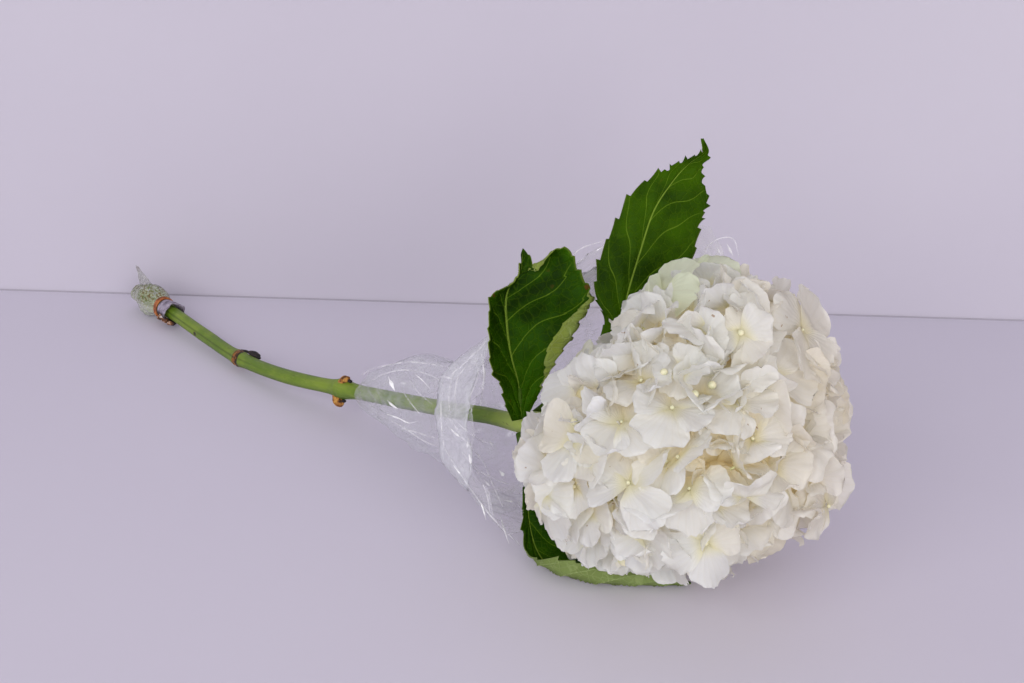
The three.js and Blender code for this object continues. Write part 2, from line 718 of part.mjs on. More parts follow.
addPiece("stem", solidOf(stemGeometry()), 0x6f9440, 0.5);
for (const [name, leaf] of Object.entries(leaves))
  addPiece(name, leafSolid(leaf).subtract(stemRoom), 0x2f6212, 0.55);
addPiece("bloom", bloomSolid([stemRoom, sleeveRoom, ...leafRooms]), 0xf3f0e6, 0.7);
const sleeve = cutAll(solidOf(slab(sleeveSheet, FILM, true)), [stemRoom, ...leafRooms]);
addPiece("sleeve", sleeve, 0xe8e8f0, 0.15, clearFilm);
for (const stub of STUBS)
  addPiece(stub.name, solidOf(stubGeometry(stub)).subtract(stemRoom), 0xb27a2e, 0.8);
const shoot = solidOf(rod(SHOOT.line, SHOOT.radius, SHOOT.steps, SHOOT.sides));
addPiece("withered_shoot", shoot.subtract(stemRoom), 0x1c1a1e, 0.85);
addPiece("water_bag", bagSolid().subtract(stemRoom), 0xdfe6dc, 0.2, clearFilm);
addPiece("bag_cuff", solidOf(cuffGeometry()), 0x9c94ab, 0.6);
addPiece("rubber_band", solidOf(bandGeometry()), 0xb5672a, 0.6);

export default part;
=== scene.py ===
# %% [markdown]
# # A cut hydrangea, laid on a table
# A florist's stem: one big creamy head, three toothed leaves, a green woody stem in a clear film sleeve,
# and a small film bag of water tied over the cut end. The solids come from the CAD part and fix where
# everything lies. This notebook dresses them: it grows the petals, veins the leaves and crumples the film.
# All shapes are worked out in millimetres, in the part's own frame, and turned to metres in one place.

import bpy
import numpy as np
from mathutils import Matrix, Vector


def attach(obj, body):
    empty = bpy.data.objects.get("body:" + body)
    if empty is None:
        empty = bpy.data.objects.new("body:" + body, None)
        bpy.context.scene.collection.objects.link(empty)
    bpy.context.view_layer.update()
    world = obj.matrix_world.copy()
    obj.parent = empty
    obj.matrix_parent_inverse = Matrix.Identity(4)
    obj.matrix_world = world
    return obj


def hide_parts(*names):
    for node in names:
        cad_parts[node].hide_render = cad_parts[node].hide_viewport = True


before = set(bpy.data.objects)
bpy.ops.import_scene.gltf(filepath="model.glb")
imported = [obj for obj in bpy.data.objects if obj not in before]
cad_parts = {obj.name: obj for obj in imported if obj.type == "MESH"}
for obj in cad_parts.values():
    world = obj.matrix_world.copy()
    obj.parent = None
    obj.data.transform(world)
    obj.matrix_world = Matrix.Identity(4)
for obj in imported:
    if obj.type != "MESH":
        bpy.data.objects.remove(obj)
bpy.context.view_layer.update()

# %% [markdown]
# ## The viewpoint
# The flower lies with its stem running away to the left, and the eye looks down on it by 22 degrees from
# in front of the head. A 56 mm lens on a 36 mm frame at that distance gives the same gentle perspective:
# the head is full size in front, and the far end of the stem is clearly smaller.

# %% Camera
EYE = np.array([464.2, -588.0, 428.0])
LENS = 56.25
PITCH = np.radians(22)
TURN = np.radians(45)

camera_data = bpy.data.cameras.new("eye")
camera_data.lens = LENS
camera_data.sensor_width = 36
camera_data.clip_start = 0.01
camera = bpy.data.objects.new("eye", camera_data)
camera.location = EYE / 1000
camera.rotation_euler = (np.pi / 2 - PITCH, 0, TURN)
bpy.context.scene.collection.objects.link(camera)
bpy.context.scene.camera = camera

RIGHT = np.array([np.cos(TURN), np.sin(TURN), 0])
FLAT = np.array([-np.sin(TURN), np.cos(TURN), 0])
AHEAD = np.cos(PITCH) * FLAT - np.sin(PITCH) * np.array([0, 0, 1.0])
ABOVE = np.sin(PITCH) * FLAT + np.cos(PITCH) * np.array([0, 0, 1.0])
print("camera", [round(float(v), 3) for v in camera.location])


# %% Places of the picture
FOCAL = LENS / 36 * 1024


def sight(x, y):
    """The line of sight through a place of the 1024 by 683 picture, by one unit of depth."""
    return AHEAD + (x - 512) / FOCAL * RIGHT - (y - 341.5) / FOCAL * ABOVE


def at_height(x, y, height=0.0):
    """Where that line meets a level plane."""
    line = sight(x, y)
    return EYE + (height - EYE[2]) / line[2] * line


# %% [markdown]
# ## Small tools for shapes
# Nearly everything on this flower is a thin sheet: a petal, a leaf, a film. Each is worked out as a grid
# of points. A leaf then gets two faces and a rim, so that it is a closed thin solid, as it is in life.
# Petals and the sleeve are so thin that they stay one sheet of faces. The other form is a tube along a
# line, for the stem, the leaf stalks and the florets' stalks.

# %% Vectors and smooth curves
def unit(v):
    return v / np.maximum(np.linalg.norm(v, axis=-1, keepdims=True), 1e-9)


def smoothstep(low, high, value):
    share = np.clip((value - low) / (high - low), 0, 1)
    return share * share * (3 - 2 * share)


def smooth_rows(rows, places):
    """Reads evenly spaced rows of numbers smoothly, at places from 0 to 1."""
    rows = np.asarray(rows, float)
    padded = np.concatenate([[2 * rows[0] - rows[1]], rows, [2 * rows[-1] - rows[-2]]])
    spot = np.clip(places, 0, 1) * (len(rows) - 1)
    first = np.minimum(spot.astype(int), len(rows) - 2)
    t = (spot - first).reshape((-1,) + (1,) * (rows.ndim - 1))
    a, b, c, d = (padded[first + k] for k in range(4))
    return 0.5 * (2 * b + (c - a) * t + (2 * a - 5 * b + 4 * c - d) * t**2 + (3 * b - 3 * c + d - a) * t**3)


def finer(grids, rows, columns):
    """Resamples grids of points, shaped (number, rows, columns, 3), smoothly in both directions."""
    tall = smooth_rows(np.moveaxis(grids, 1, 0), np.linspace(0, 1, rows))
    wide = smooth_rows(np.moveaxis(tall, 2, 0), np.linspace(0, 1, columns))
    return np.moveaxis(wide, (0, 1, 2), (2, 1, 0))


def face_normals(grids):
    down = np.gradient(grids, axis=1)
    across = np.gradient(grids, axis=2)
    return unit(np.cross(across, down))


# %% Meshes from arrays
def new_piece(name, points, faces, uv=None, marks=None, slot=None, replaces=(), materials=()):
    """One object from points in mm and a list of face arrays, with its uv map, its marks for the shaders, its
    slot, which is not used, and the CAD nodes that it stands for. It rides on the part's one body."""
    mesh = bpy.data.meshes.new(name)
    mesh.vertices.add(len(points))
    mesh.vertices.foreach_set("co", (np.asarray(points) / 1000).astype(np.float32).ravel())
    corners = np.concatenate([f.ravel() for f in faces]).astype(np.int32)
    sizes = np.concatenate([np.full(len(f), f.shape[1]) for f in faces])
    starts = np.concatenate([[0], np.cumsum(sizes)[:-1]]).astype(np.int32)
    mesh.loops.add(len(corners))
    mesh.loops.foreach_set("vertex_index", corners)
    mesh.polygons.add(len(sizes))
    mesh.polygons.foreach_set("loop_start", starts)
    mesh.update(calc_edges=True)
    mesh.polygons.foreach_set("use_smooth", np.ones(len(sizes), bool))
    if uv is not None:
        layer = mesh.uv_layers.new(name="UVMap")
        layer.data.foreach_set("uv", np.asarray(uv, np.float32)[corners].ravel())
    for mark, values in (marks or {}).items():
        attribute = mesh.attributes.new(mark, "FLOAT", "POINT")
        attribute.data.foreach_set("value", np.asarray(values, np.float32).ravel())
    piece = bpy.data.objects.new(name, mesh)
    bpy.context.scene.collection.objects.link(piece)
    for material in materials:
        mesh.materials.append(material)
    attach(piece, "root")
    if replaces:
        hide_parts(*replaces)
    print(f"{name}: {sum(len(f) * (f.shape[1] - 2) for f in faces)} triangles")
    return piece


def grid_quads(rows, columns):
    """Faces of one grid, numbered row by row."""
    r, c = np.meshgrid(np.arange(rows - 1), np.arange(columns - 1), indexing="ij")
    low = (r * columns + c).ravel()
    return np.stack([low, low + 1, low + columns + 1, low + columns], 1)


def slabs(grids, thickness):
    """Closed thin solids from grids shaped (number, rows, columns, 3): their points and their quads."""
    number, rows, columns, _ = grids.shape
    offset = face_normals(grids) * (np.asarray(thickness)[..., None] / 2)
    both = np.stack([grids + offset, grids - offset], 1)
    top = grid_quads(rows, columns)
    size = rows * columns
    edge = np.concatenate([
        np.arange(columns - 1),
        np.arange(rows - 1) * columns + columns - 1,
        size - 1 - np.arange(columns - 1),
        (rows - 1 - np.arange(rows - 1)) * columns,
    ])
    following = np.roll(edge, -1)
    rim = np.stack([following, edge, edge + size, following + size], 1)
    one = np.concatenate([top, top[:, ::-1] + size, rim])
    every = one[None] + (np.arange(number) * 2 * size)[:, None, None]
    return both.reshape(-1, 3), every.reshape(-1, 4)


# %% Tubes along lines
def steady_axes(line, up=(0, 0, 1.0)):
    """Two directions square to a line at each of its points, the first as near to up as can be."""
    along = unit(np.gradient(line, axis=-2))
    first = unit(np.asarray(up) - along * np.sum(along * np.asarray(up), -1, keepdims=True))
    return first, np.cross(first, along), along


def tubes(lines, radii, sides, up=(0, 0, 1.0), shape=None):
    """Closed tubes along lines shaped (number, steps, 3): their points and faces. shape multiplies the radius
    by step and by side."""
    number, steps, _ = lines.shape
    first, second, _ = steady_axes(lines, up)
    angle = 2 * np.pi * np.arange(sides) / sides
    reach = np.broadcast_to(radii[..., None], (number, steps, sides))
    reach = reach if shape is None else reach * shape
    rings = lines[:, :, None] + reach[..., None] * (
        np.cos(angle)[:, None] * first[:, :, None] - np.sin(angle)[:, None] * second[:, :, None]
    )
    ends = lines[:, [0, -1]]
    points = np.concatenate([rings.reshape(number, -1, 3), ends], 1)
    size = steps * sides + 2
    s = np.arange(sides)
    following = (s + 1) % sides
    wall = np.concatenate([
        np.stack([k * sides + s, k * sides + following, (k + 1) * sides + following, (k + 1) * sides + s], 1)
        for k in range(steps - 1)
    ])
    last = (steps - 1) * sides
    caps = np.concatenate([
        np.stack([np.full(sides, size - 2), following, s], 1),
        np.stack([np.full(sides, size - 1), last + s, last + following], 1),
    ])
    shift = (np.arange(number) * size)[:, None, None]
    return points.reshape(-1, 3), [(wall[None] + shift).reshape(-1, 4), (caps[None] + shift).reshape(-1, 3)]


def eggs(places, headings, half_lengths, radii, steps, sides, up, blunt):
    """Closed egg shapes along their headings, cut blunt by a small share at both ends."""
    share = np.linspace(-1, 1, steps)
    lines = places[:, None] + headings[:, None] * (share[None, :, None] * half_lengths[:, None, None])
    round_off = np.sqrt(np.maximum(1 - share**2, blunt))
    return tubes(lines, radii[:, None] * round_off[None], sides, up=up)


def join(parts):
    """Puts several (points, faces) together, where faces is a list of arrays of quads or triangles."""
    points, faces, base = [], {3: [], 4: []}, 0
    for own, lists in parts:
        points.append(own)
        for faces_of in lists:
            faces[faces_of.shape[1]].append(faces_of + base)
        base += len(own)
    return np.concatenate(points), [np.concatenate(v) for v in faces.values() if v]


# %% [markdown]
# ## Writing finishes as sums
# A finish is a net of nodes. Wiring them one by one hides what they do, so a socket is wrapped in a small
# class: sums, products and powers of it add their Math nodes, and every other node comes from one method
# that takes its type, its settings and what goes into its sockets.

# %% Sockets that can be added and multiplied
def sign_for(operation, swapped=False):
    """A method that adds one Math node. It is swapped where a number stands before the sign."""
    def method(self, *others):
        node = self.socket.id_data.nodes.new("ShaderNodeMath")
        node.operation = operation
        for place, value in zip(node.inputs, (*others, self) if swapped else (self, *others)):
            plug(place, value)
        return Wire(node.outputs[0])

    return method


class Wire:
    __add__, __radd__ = sign_for("ADD"), sign_for("ADD", True)
    __sub__, __rsub__ = sign_for("SUBTRACT"), sign_for("SUBTRACT", True)
    __mul__, __rmul__ = sign_for("MULTIPLY"), sign_for("MULTIPLY", True)
    __truediv__, __pow__ = sign_for("DIVIDE"), sign_for("POWER")
    __abs__, at_most = sign_for("ABSOLUTE"), sign_for("MINIMUM")
    wave, saw = sign_for("SINE"), sign_for("FRACT")

    def __init__(self, socket):
        self.socket = socket

    def ramp(self, low, high):
        """0 below low, 1 above high and smooth between them; low may be the greater."""
        node = self.socket.id_data.nodes.new("ShaderNodeMapRange")
        node.interpolation_type = "SMOOTHSTEP"
        flipped = low > high
        ends = (high, low, 1, 0) if flipped else (low, high, 0, 1)
        for place, value in zip(node.inputs, (self, *ends)):
            plug(place, value)
        return Wire(node.outputs[0])


def plug(socket, value):
    if isinstance(value, Wire):
        socket.id_data.links.new(value.socket, socket)
    else:
        socket.default_value = value


# %% A finish and its nodes
class Finish:
    def __init__(self, name):
        self.material = bpy.data.materials.new(name)
        self.material.use_nodes = True
        self.tree = self.material.node_tree
        self.tree.nodes.clear()

    def node(self, kind, settings=None, sockets=None, out=0):
        """A node of a kind. Its settings are set first, then values or wires go into its sockets."""
        node = self.tree.nodes.new("ShaderNode" + kind)
        for key, value in (settings or {}).items():
            if key == "stops":
                fill_ramp(node.color_ramp, value)
            else:
                setattr(node, key, value)
        for key, value in (sockets or {}).items():
            plug(node.inputs[key], value)
        return Wire(node.outputs[out])

    def mark(self, name):
        return self.node("Attribute", {"attribute_name": name}, out="Fac")

    def uv(self):
        """Both coordinates of the uv map, as numbers."""
        place = self.node("UVMap")
        split = self.node("SeparateXYZ", None, {"Vector": place})
        return split, Wire(split.socket.node.outputs[1])

    def mix(self, share, first, second):
        """Two colours in one, by a share from 0 to 1."""
        settings = {"data_type": "RGBA", "blend_type": "MIX", "clamp_factor": True}
        return self.node("Mix", settings, {0: share, 6: first, 7: second}, out=2)

    def stretched(self, place, by):
        return self.node("VectorMath", {"operation": "MULTIPLY"}, {0: place, 1: by})

    def noise(self, place, scale, detail=3, rough=0.5):
        sockets = {"Vector": place, "Scale": scale, "Detail": detail, "Roughness": rough}
        return self.node("TexNoise", None, sockets)

    def here(self):
        """The place on the object in metres, which sits still when the eye moves."""
        return self.node("TexCoord", None, None, out="Object")

    def bump(self, height, distance, strength=1.0):
        return self.node("Bump", None, {"Height": height, "Distance": distance, "Strength": strength})

    def surface(self, shader):
        output = self.tree.nodes.new("ShaderNodeOutputMaterial")
        plug(output.inputs["Surface"], shader)
        return self.material

    def principled(self, sockets):
        return self.node("BsdfPrincipled", None, sockets)

    def blended(self, share, first, second):
        """The material that two shaders make together."""
        return self.surface(self.node("MixShader", None, {0: share, 1: first, 2: second}))

    def over_clear(self, share, sockets, clear):
        """Film: a shiny skin that covers a share of what is seen through it."""
        behind = self.node("BsdfTransparent", None, {"Color": clear})
        return self.blended(share, behind, self.principled(sockets))

    def let_through(self, share, sockets, through):
        """A living skin: its lit face, and by a share the light that comes through it in another tint."""
        tint = self.mix(0.5, sockets["Base Color"], through)
        glow = self.node("BsdfTranslucent", None, {"Color": tint, "Normal": sockets["Normal"]})
        return self.blended(share, self.principled(sockets), glow)


def fill_ramp(ramp, stops):
    while len(ramp.elements) < len(stops):
        ramp.elements.new(1.0)
    for element, (place, colour) in zip(ramp.elements, stops):
        element.position = place
        element.color = colour


def colour(red, green, blue):
    """A colour as an eye reads it from a picture, 0 to 255, turned to the light it stands for."""
    share = np.array([red, green, blue]) / 255
    light = np.where(share <= 0.04045, share / 12.92, ((share + 0.055) / 1.055) ** 2.4)
    return (*[float(v) for v in light], 1.0)


# %% [markdown]
# ## Room and light
# The flower lies on a smooth pale lilac-grey table in front of a wall of the same paint. Both are plain.
# The light is a big soft box on the left in front, a broad weak one from the right to fill, and a bright
# even room, so that shadows are wide and soft. A third, weak box casts no shadow. It stands for the light
# that pale walls send back from all around, which three short bounces don't reach.

# %% Floor and wall
def plain_sheet(name, corners, material):
    mesh = bpy.data.meshes.new(name)
    mesh.from_pydata([tuple(np.array(c) / 1000) for c in corners], [], [tuple(range(len(corners)))])
    mesh.materials.append(material)
    sheet = bpy.data.objects.new(name, mesh)
    bpy.context.scene.collection.objects.link(sheet)
    return sheet


def paint_finish(name, base):
    paint = Finish(name)
    cloud = paint.noise(paint.here(), 3.0, 2)
    tone = paint.mix(cloud, base, paint.mix(0.5, base, colour(255, 255, 255)))
    return paint.surface(paint.principled({"Base Color": paint.mix(0.25, base, tone), "Roughness": 0.55}))


TABLE_PAINT = paint_finish("table_paint", colour(211, 205, 221))
WALL_PAINT = paint_finish("wall_paint", colour(184, 178, 193))
JOINT_PAINT = paint_finish("joint_paint", colour(150, 144, 158))
WALL_HEIGHT = np.array([0, 0, 2500.0])
foot_left, foot_right = at_height(0, 290), at_height(1024, 321)
run = foot_right - foot_left
foot_left, foot_right = foot_left - run, foot_right + run
forward = 2.2 * np.array([run[1], -run[0], 0])
plain_sheet("floor", [foot_left, foot_left + forward, foot_right + forward, foot_right], TABLE_PAINT)
plain_sheet("wall", [foot_left, foot_right, foot_right + WALL_HEIGHT, foot_left + WALL_HEIGHT], WALL_PAINT)
JOINT_HEIGHT = np.array([0, 0, 1.1])
nearer = forward / np.linalg.norm(forward) * 0.5
joint = [foot_left, foot_right, foot_right + JOINT_HEIGHT, foot_left + JOINT_HEIGHT]
plain_sheet("joint", [corner + nearer for corner in joint], JOINT_PAINT)
print("wall foot, mm:", foot_left.round(), foot_right.round())


# %% Lights
AIM = np.array([0, 0, 60.0])


def soft_box(name, place, size, power, tint):
    """A rectangle of light that looks at the head: its place in mm, its size in metres, its watts."""
    light = bpy.data.lights.new(name, "AREA")
    light.shape = "RECTANGLE"
    light.size, light.size_y = size
    light.energy = power
    light.color = tint
    lamp = bpy.data.objects.new(name, light)
    lamp.location = np.array(place) / 1000
    heading = unit(AIM - np.array(place, float))
    lamp.rotation_euler = Vector(heading).to_track_quat("-Z", "Y").to_euler()
    bpy.context.scene.collection.objects.link(lamp)
    return light


soft_box("key", (700, -2900, 1500), (3.0, 2.2), 50, (1.0, 0.99, 0.985))
veil = soft_box("veil", (900, -2300, 1500), (2.4, 2.0), 12, (1.0, 0.99, 0.98))
veil.use_shadow = False
soft_box("fill", (2600, -1000, 620), (2.2, 1.2), 34, (1.0, 0.98, 0.97))

world = bpy.data.worlds.new("room")
world.use_nodes = True
room_light = world.node_tree.nodes["Background"].inputs
room_light["Color"].default_value = (0.985, 0.965, 1.0, 1)
room_light["Strength"].default_value = 0.41
bpy.context.scene.world = world
bpy.context.scene.view_settings.view_transform = "Standard"
print("room is lit")


# %% [markdown]
# ## The stem
# One woody shoot carries everything. It is as thick as a pencil, bends a little at each joint and swells
# there, where leaves once stood, and a shallow groove runs along it. A tube is swept along the same smooth
# line as the CAD solid, with the swellings and the groove as changes of its radius.

# %% The stem's line and its thickness
STEM_LINE = [
    (-528, 12.5, 10.2),
    (-482, 7.4, 10.4),
    (-430, 0.5, 8.6),
    (-380.4, -6, 8),
    (-326.7, -8.6, 12),
    (-268.8, -6.6, 20),
    (-174.3, -9.5, 38),
    (-134.3, -11.3, 47),
    (-100.6, -15, 55),
    (-60, -8, 68),
    (-40, -4, 74),
]
STEM_RADIUS = 4.7
STEM_JOINTS = [(-380.4, 0.9, 7), (-268.8, 1.6, 9), (-99, 1.5, 11)]
stem_dense = smooth_rows(STEM_LINE, np.linspace(0, 1, 2001))


def stem_at(x):
    """The stem's middle line at places along X."""
    y, z = (np.interp(x, stem_dense[:, 0], stem_dense[:, axis]) for axis in (1, 2))
    return np.stack([x, y, z], -1)


def stem_radius(x):
    swells = [swell * np.exp(-(((x - at) / length) ** 2)) for at, swell, length in STEM_JOINTS]
    return STEM_RADIUS + np.max(swells, axis=0)


# %% Sweep the stem
GROOVE_TURN = 1.1
NICK_X, NICK_TURN, NICK_DEPTH = -438, 1.6, 0.12
RING_SHIFTS = (-2.5, 1.5)


def stem_shape(steps, sides):
    """How far each point of the sweep lies out, as a share of the radius there, and its groove and nick."""
    x = np.linspace(STEM_LINE[0][0], STEM_LINE[-1][0], steps)
    turn = 2 * np.pi * np.arange(sides) / sides
    place, round_it = np.meshgrid(x, turn, indexing="ij")
    off_groove = np.abs(np.mod(round_it - GROOVE_TURN + np.pi, 2 * np.pi) - np.pi)
    groove = np.exp(-((off_groove / 0.15) ** 2))
    ribs = 0.012 * np.sin(9 * round_it + 0.02 * place) + 0.01 * np.sin(0.11 * place + 2 * round_it)
    rings = 0
    for at, _, _ in STEM_JOINTS:
        for shift in RING_SHIFTS:
            rings = rings + 0.05 * np.exp(-(((place - at - shift) / 0.9) ** 2))
    fade = smoothstep(-290, -330, place)
    nick = NICK_DEPTH * np.exp(-(((place - NICK_X) / 2.2) ** 2) - (((round_it - NICK_TURN) / 0.35) ** 2))
    shape = 1 - 0.075 * groove * (0.3 + 0.7 * fade) + ribs + rings - nick
    return x, shape, place, round_it, groove, nick


x, shape, place, round_it, groove, nick = stem_shape(420, 64)
stem_points, stem_faces = tubes(stem_at(x)[None], stem_radius(x)[None], 64, shape=shape[None])
ends = np.array([x[0], x[-1]])
stem_marks = {
    "along": np.concatenate([place.ravel(), ends]),
    "turned": np.concatenate([np.cos(round_it).ravel(), [0, 0]]),
    "groove": np.concatenate([groove.ravel(), [0, 0]]),
    "nick": np.concatenate([nick.ravel() / NICK_DEPTH, [0, 0]]),
}


# %% Green bark
def stem_finish():
    bark = Finish("stem_green")
    here = bark.here()
    streak = bark.noise(bark.stretched(here, (0.16, 1.0, 1.0)), 900, 4)
    blotch = bark.noise(here, 60, 3)
    along = bark.mark("along")
    green = bark.mix(blotch.ramp(0.35, 0.7), colour(92, 119, 27), colour(119, 141, 42))
    green = bark.mix(streak.ramp(0.5, 0.75) * 0.5, green, colour(132, 148, 64))
    # painted shade: the stem's underside, turned away from up, is painted a darker green
    green = bark.mix(bark.mark("turned").ramp(0.2, -0.9) * 0.55, green, colour(64, 88, 18))
    # painted shade: on the far part of the stem the groove is painted as a dark line
    groove_shade = bark.mark("groove").ramp(0.1, 0.9) * along.ramp(-330, -390)
    green = bark.mix(groove_shade * 0.55, green, colour(44, 60, 10))
    green = bark.mix(along.ramp(-125, -95) * 0.8, green, colour(172, 190, 96))
    rust = bark.noise(here, 380, 3).ramp(0.42, 0.6)
    first_joint = STEM_JOINTS[0][0]
    ring = (abs(along - (first_joint + 1)) + (blotch - 0.5) * 5).ramp(3.8, 1.8)
    green = bark.mix(ring, green, bark.mix(rust, colour(148, 92, 30), colour(66, 34, 14)))
    scar = (abs(along - (first_joint + 3.2)) + (streak - 0.5) * 2).ramp(1.3, 0.5)
    green = bark.mix(scar, green, colour(30, 16, 8))
    green = bark.mix(bark.mark("nick").ramp(0.2, 0.6), green, colour(44, 40, 16))
    speck = bark.noise(bark.stretched(here, (0.5, 1, 1)), 520, 2).ramp(0.66, 0.72)
    green = bark.mix(speck * 0.55, green, colour(86, 84, 36))
    fresh_cut = along.ramp(-527.2, -527.8)
    green = bark.mix(fresh_cut, green, colour(206, 205, 150))
    bump = bark.bump(streak * 0.6 + blotch * 0.4, 0.00035)
    return bark.surface(bark.principled({
        "Base Color": green, "Roughness": 0.42 + 0.16 * blotch, "Normal": bump, "Specular IOR Level": 0.45,
        "Subsurface Weight": 0.08, "Subsurface Radius": (0.001, 0.002, 0.0005),
    }))


STEM_FINISH = stem_finish()
new_piece("stem_shoot", stem_points, stem_faces, None, stem_marks, "stem", ["stem"], [STEM_FINISH])


# %% [markdown]
# ## The leaves
# A hydrangea leaf is a thin toothed blade with a strong midrib and about eight pairs of side veins that
# lean towards the tip. Each half bends by its own amount from station to station along the midrib, much
# as in the CAD solid, so the big gestures agree. Here the grid is much finer, and it also takes the teeth
# that point forward, the sunken veins, the quilted skin between them and the ridges underneath.

# %% Two of the leaves, station by station
# A station is a point of the midrib with, for the left and the right half there: width, how far the side
# veins lean towards the tip, how far the half bends to its upper side and how far its margin curls on.
LEAVES = {
    "leaf_tall": {
        "petiole": [(-97, -9.5, 58.5), (-90, -6.5, 67), (-78, 1, 84), (-62, 20, 112), (-63, 30, 134)],
        "petiole_radius": 2.5,
        "facing": (0.76, -0.55, 0.37),
        "bend_share": 1,
        "curl_from": 0.6,
        "teeth": 18,
        "stations": [
            ((-68.5, 10, 98), (2, 15, -10, 0), (4, 15, -10, 0)),
            ((-62, 20.5, 112), (13, 16, -20, 0), (18, 18, -15, 0)),
            ((-63.5, 28, 130), (21, 22, -25, 0), (29, 20, -15, 0)),
            ((-65.5, 39, 149), (21, 32, -25, 0), (32, 20, -15, 0)),
            ((-67.7, 52, 169), (16, 36, -25, 0), (29, 20, -20, 0)),
            ((-66.2, 65, 183), (8.5, 34, -25, 0), (23, 18, -20, 0)),
            ((-64, 76, 191.5), (3, 30, -25, 0), (9, 20, -20, 0)),
            ((-60.5, 85, 197), (1.8, 30, 20, 0), (2.6, 20, 20, 0)),
            ((-64, 87, 203.5), (0.8, 20, 20, 0), (0.8, 20, 20, 0)),
        ],
    },
    "leaf_lower": {
        "petiole": [(-97, -20, 50.5), (-89, -26, 43), (-80, -33, 32), (-68, -42.5, 14.5), (-54, -50, 6)],
        "petiole_radius": 2.8,
        "facing": (0, 0, 1),
        "bend_share": 0.8,
        "curl_from": 0.5,
        "teeth": 14,
        "stations": [
            ((-78, -33.5, 30), (6, -25, 20, 0), (3, 10, 10, 0)),
            ((-69, -42, 16), (18, -12, 20, 0), (4, 10, 20, 10)),
            ((-54, -50.5, 5.5), (27, 2, 14, 0), (10, 15, 40, 20)),
            ((-38, -53, 2.6), (33, 16, 8, 0), (17, 15, 85, 20)),
            ((-16, -46, 2.2), (32, 32, 5, 0), (17, 10, 108, 16)),
            ((3, -31, 2.2), (22, 40, 5, 0), (11, 10, 124, 10)),
            ((14, -20, 2.2), (8, 40, 0, 0), (8, 10, 118, 0)),
            ((20, -13, 2.2), (0.8, 0, 0, 0), (0.8, 0, 0, 0)),
        ],
    },
}
NARROWEST = 0.7
TOOTH = 3.7
BLADE = 0.55


# %% A blade as a grid of points
def both_halves(halves, share):
    """One grid from the points of both halves, with each point's share along the midrib and across."""
    grid = np.stack(halves[0][::-1] + halves[1][1:], 1)
    across = np.linspace(-1, 1, grid.shape[1])
    return grid, np.broadcast_to(share[:, None], grid.shape[:2]), np.broadcast_to(across, grid.shape[:2])


def blade(leaf, rows, half_steps, torn=None):
    """Rows of points from the left margin over the midrib to the right one, from the base to the tip."""
    share = np.linspace(0, 1, rows)
    spine = smooth_rows([s[0] for s in leaf["stations"]], share)
    along = unit(np.gradient(spine, axis=0))
    side = unit(np.cross(along, leaf["facing"]))
    upper = np.cross(side, along)
    numbers = smooth_rows([(*s[1], *s[2]) for s in leaf["stations"]], share)
    ends = smoothstep(0.03, 0.1, share) * smoothstep(0.9, 0.84, share)
    middles = (np.arange(half_steps) + 0.5) / half_steps
    rim = np.maximum(middles - 0.72, 0)
    rim = rim / rim.sum()
    halves = []
    for sign, (width, lean, bend, curl) in ((-1, numbers[:, :4].T), (1, numbers[:, 4:].T)):
        width = np.maximum(width, NARROWEST)
        spot = share * leaf["teeth"] + 0.35 * np.sin(9 * share + sign) + 0.3 * sign
        bite = 0.65 + 0.5 * np.sin(2.4 * np.floor(spot) + 2 * sign)
        tooth = TOOTH * ends * bite * (np.mod(spot, 1) ** 1.5 - 0.35)
        if torn and sign == torn[0]:
            tooth = tooth - torn[2] * np.exp(-(((share - torn[1]) / 0.009) ** 2))
        lean = np.radians(lean)
        points = [spine]
        for middle, part_of_rim in zip(middles, rim):
            curled = curl * 1.15 * smoothstep(leaf["curl_from"], leaf["curl_from"] + 0.2, middle)
            turn = np.radians(bend * min(1, middle / leaf["bend_share"]) + curled)
            heading = (sign * np.cos(lean) * np.cos(turn))[:, None] * side
            heading = heading + (np.cos(lean) * np.sin(turn))[:, None] * upper + np.sin(lean)[:, None] * along
            step = width / half_steps + tooth * part_of_rim
            points.append(points[-1] + heading * step[:, None])
        halves.append(points)
    grid, shares, across = both_halves(halves, share)
    grid[..., 2] = np.maximum(grid[..., 2], 0.7)
    return grid, shares, across


# %% [markdown]
# The leaf on the left is crumpled more than bends and curls can say: it is cupped towards the eye, its top
# is notched between the tip and a broad lobe, and part of its right margin is folded forward, so that the
# pale underside shows. So its midrib and both its margins are given as places of the picture, each with
# how near it is, and the rows are drawn between them.

# %% The left leaf
LEFT_PETIOLE = [(-101, -19, 60.5), (-97, -21, 66), (-95.5, -22.5, 76), (-97, -24, 92), (-101, -24.5, 105)]
LEFT_FACING = (0.66, -0.66, 0.37)
LEFT_FOLD = 150
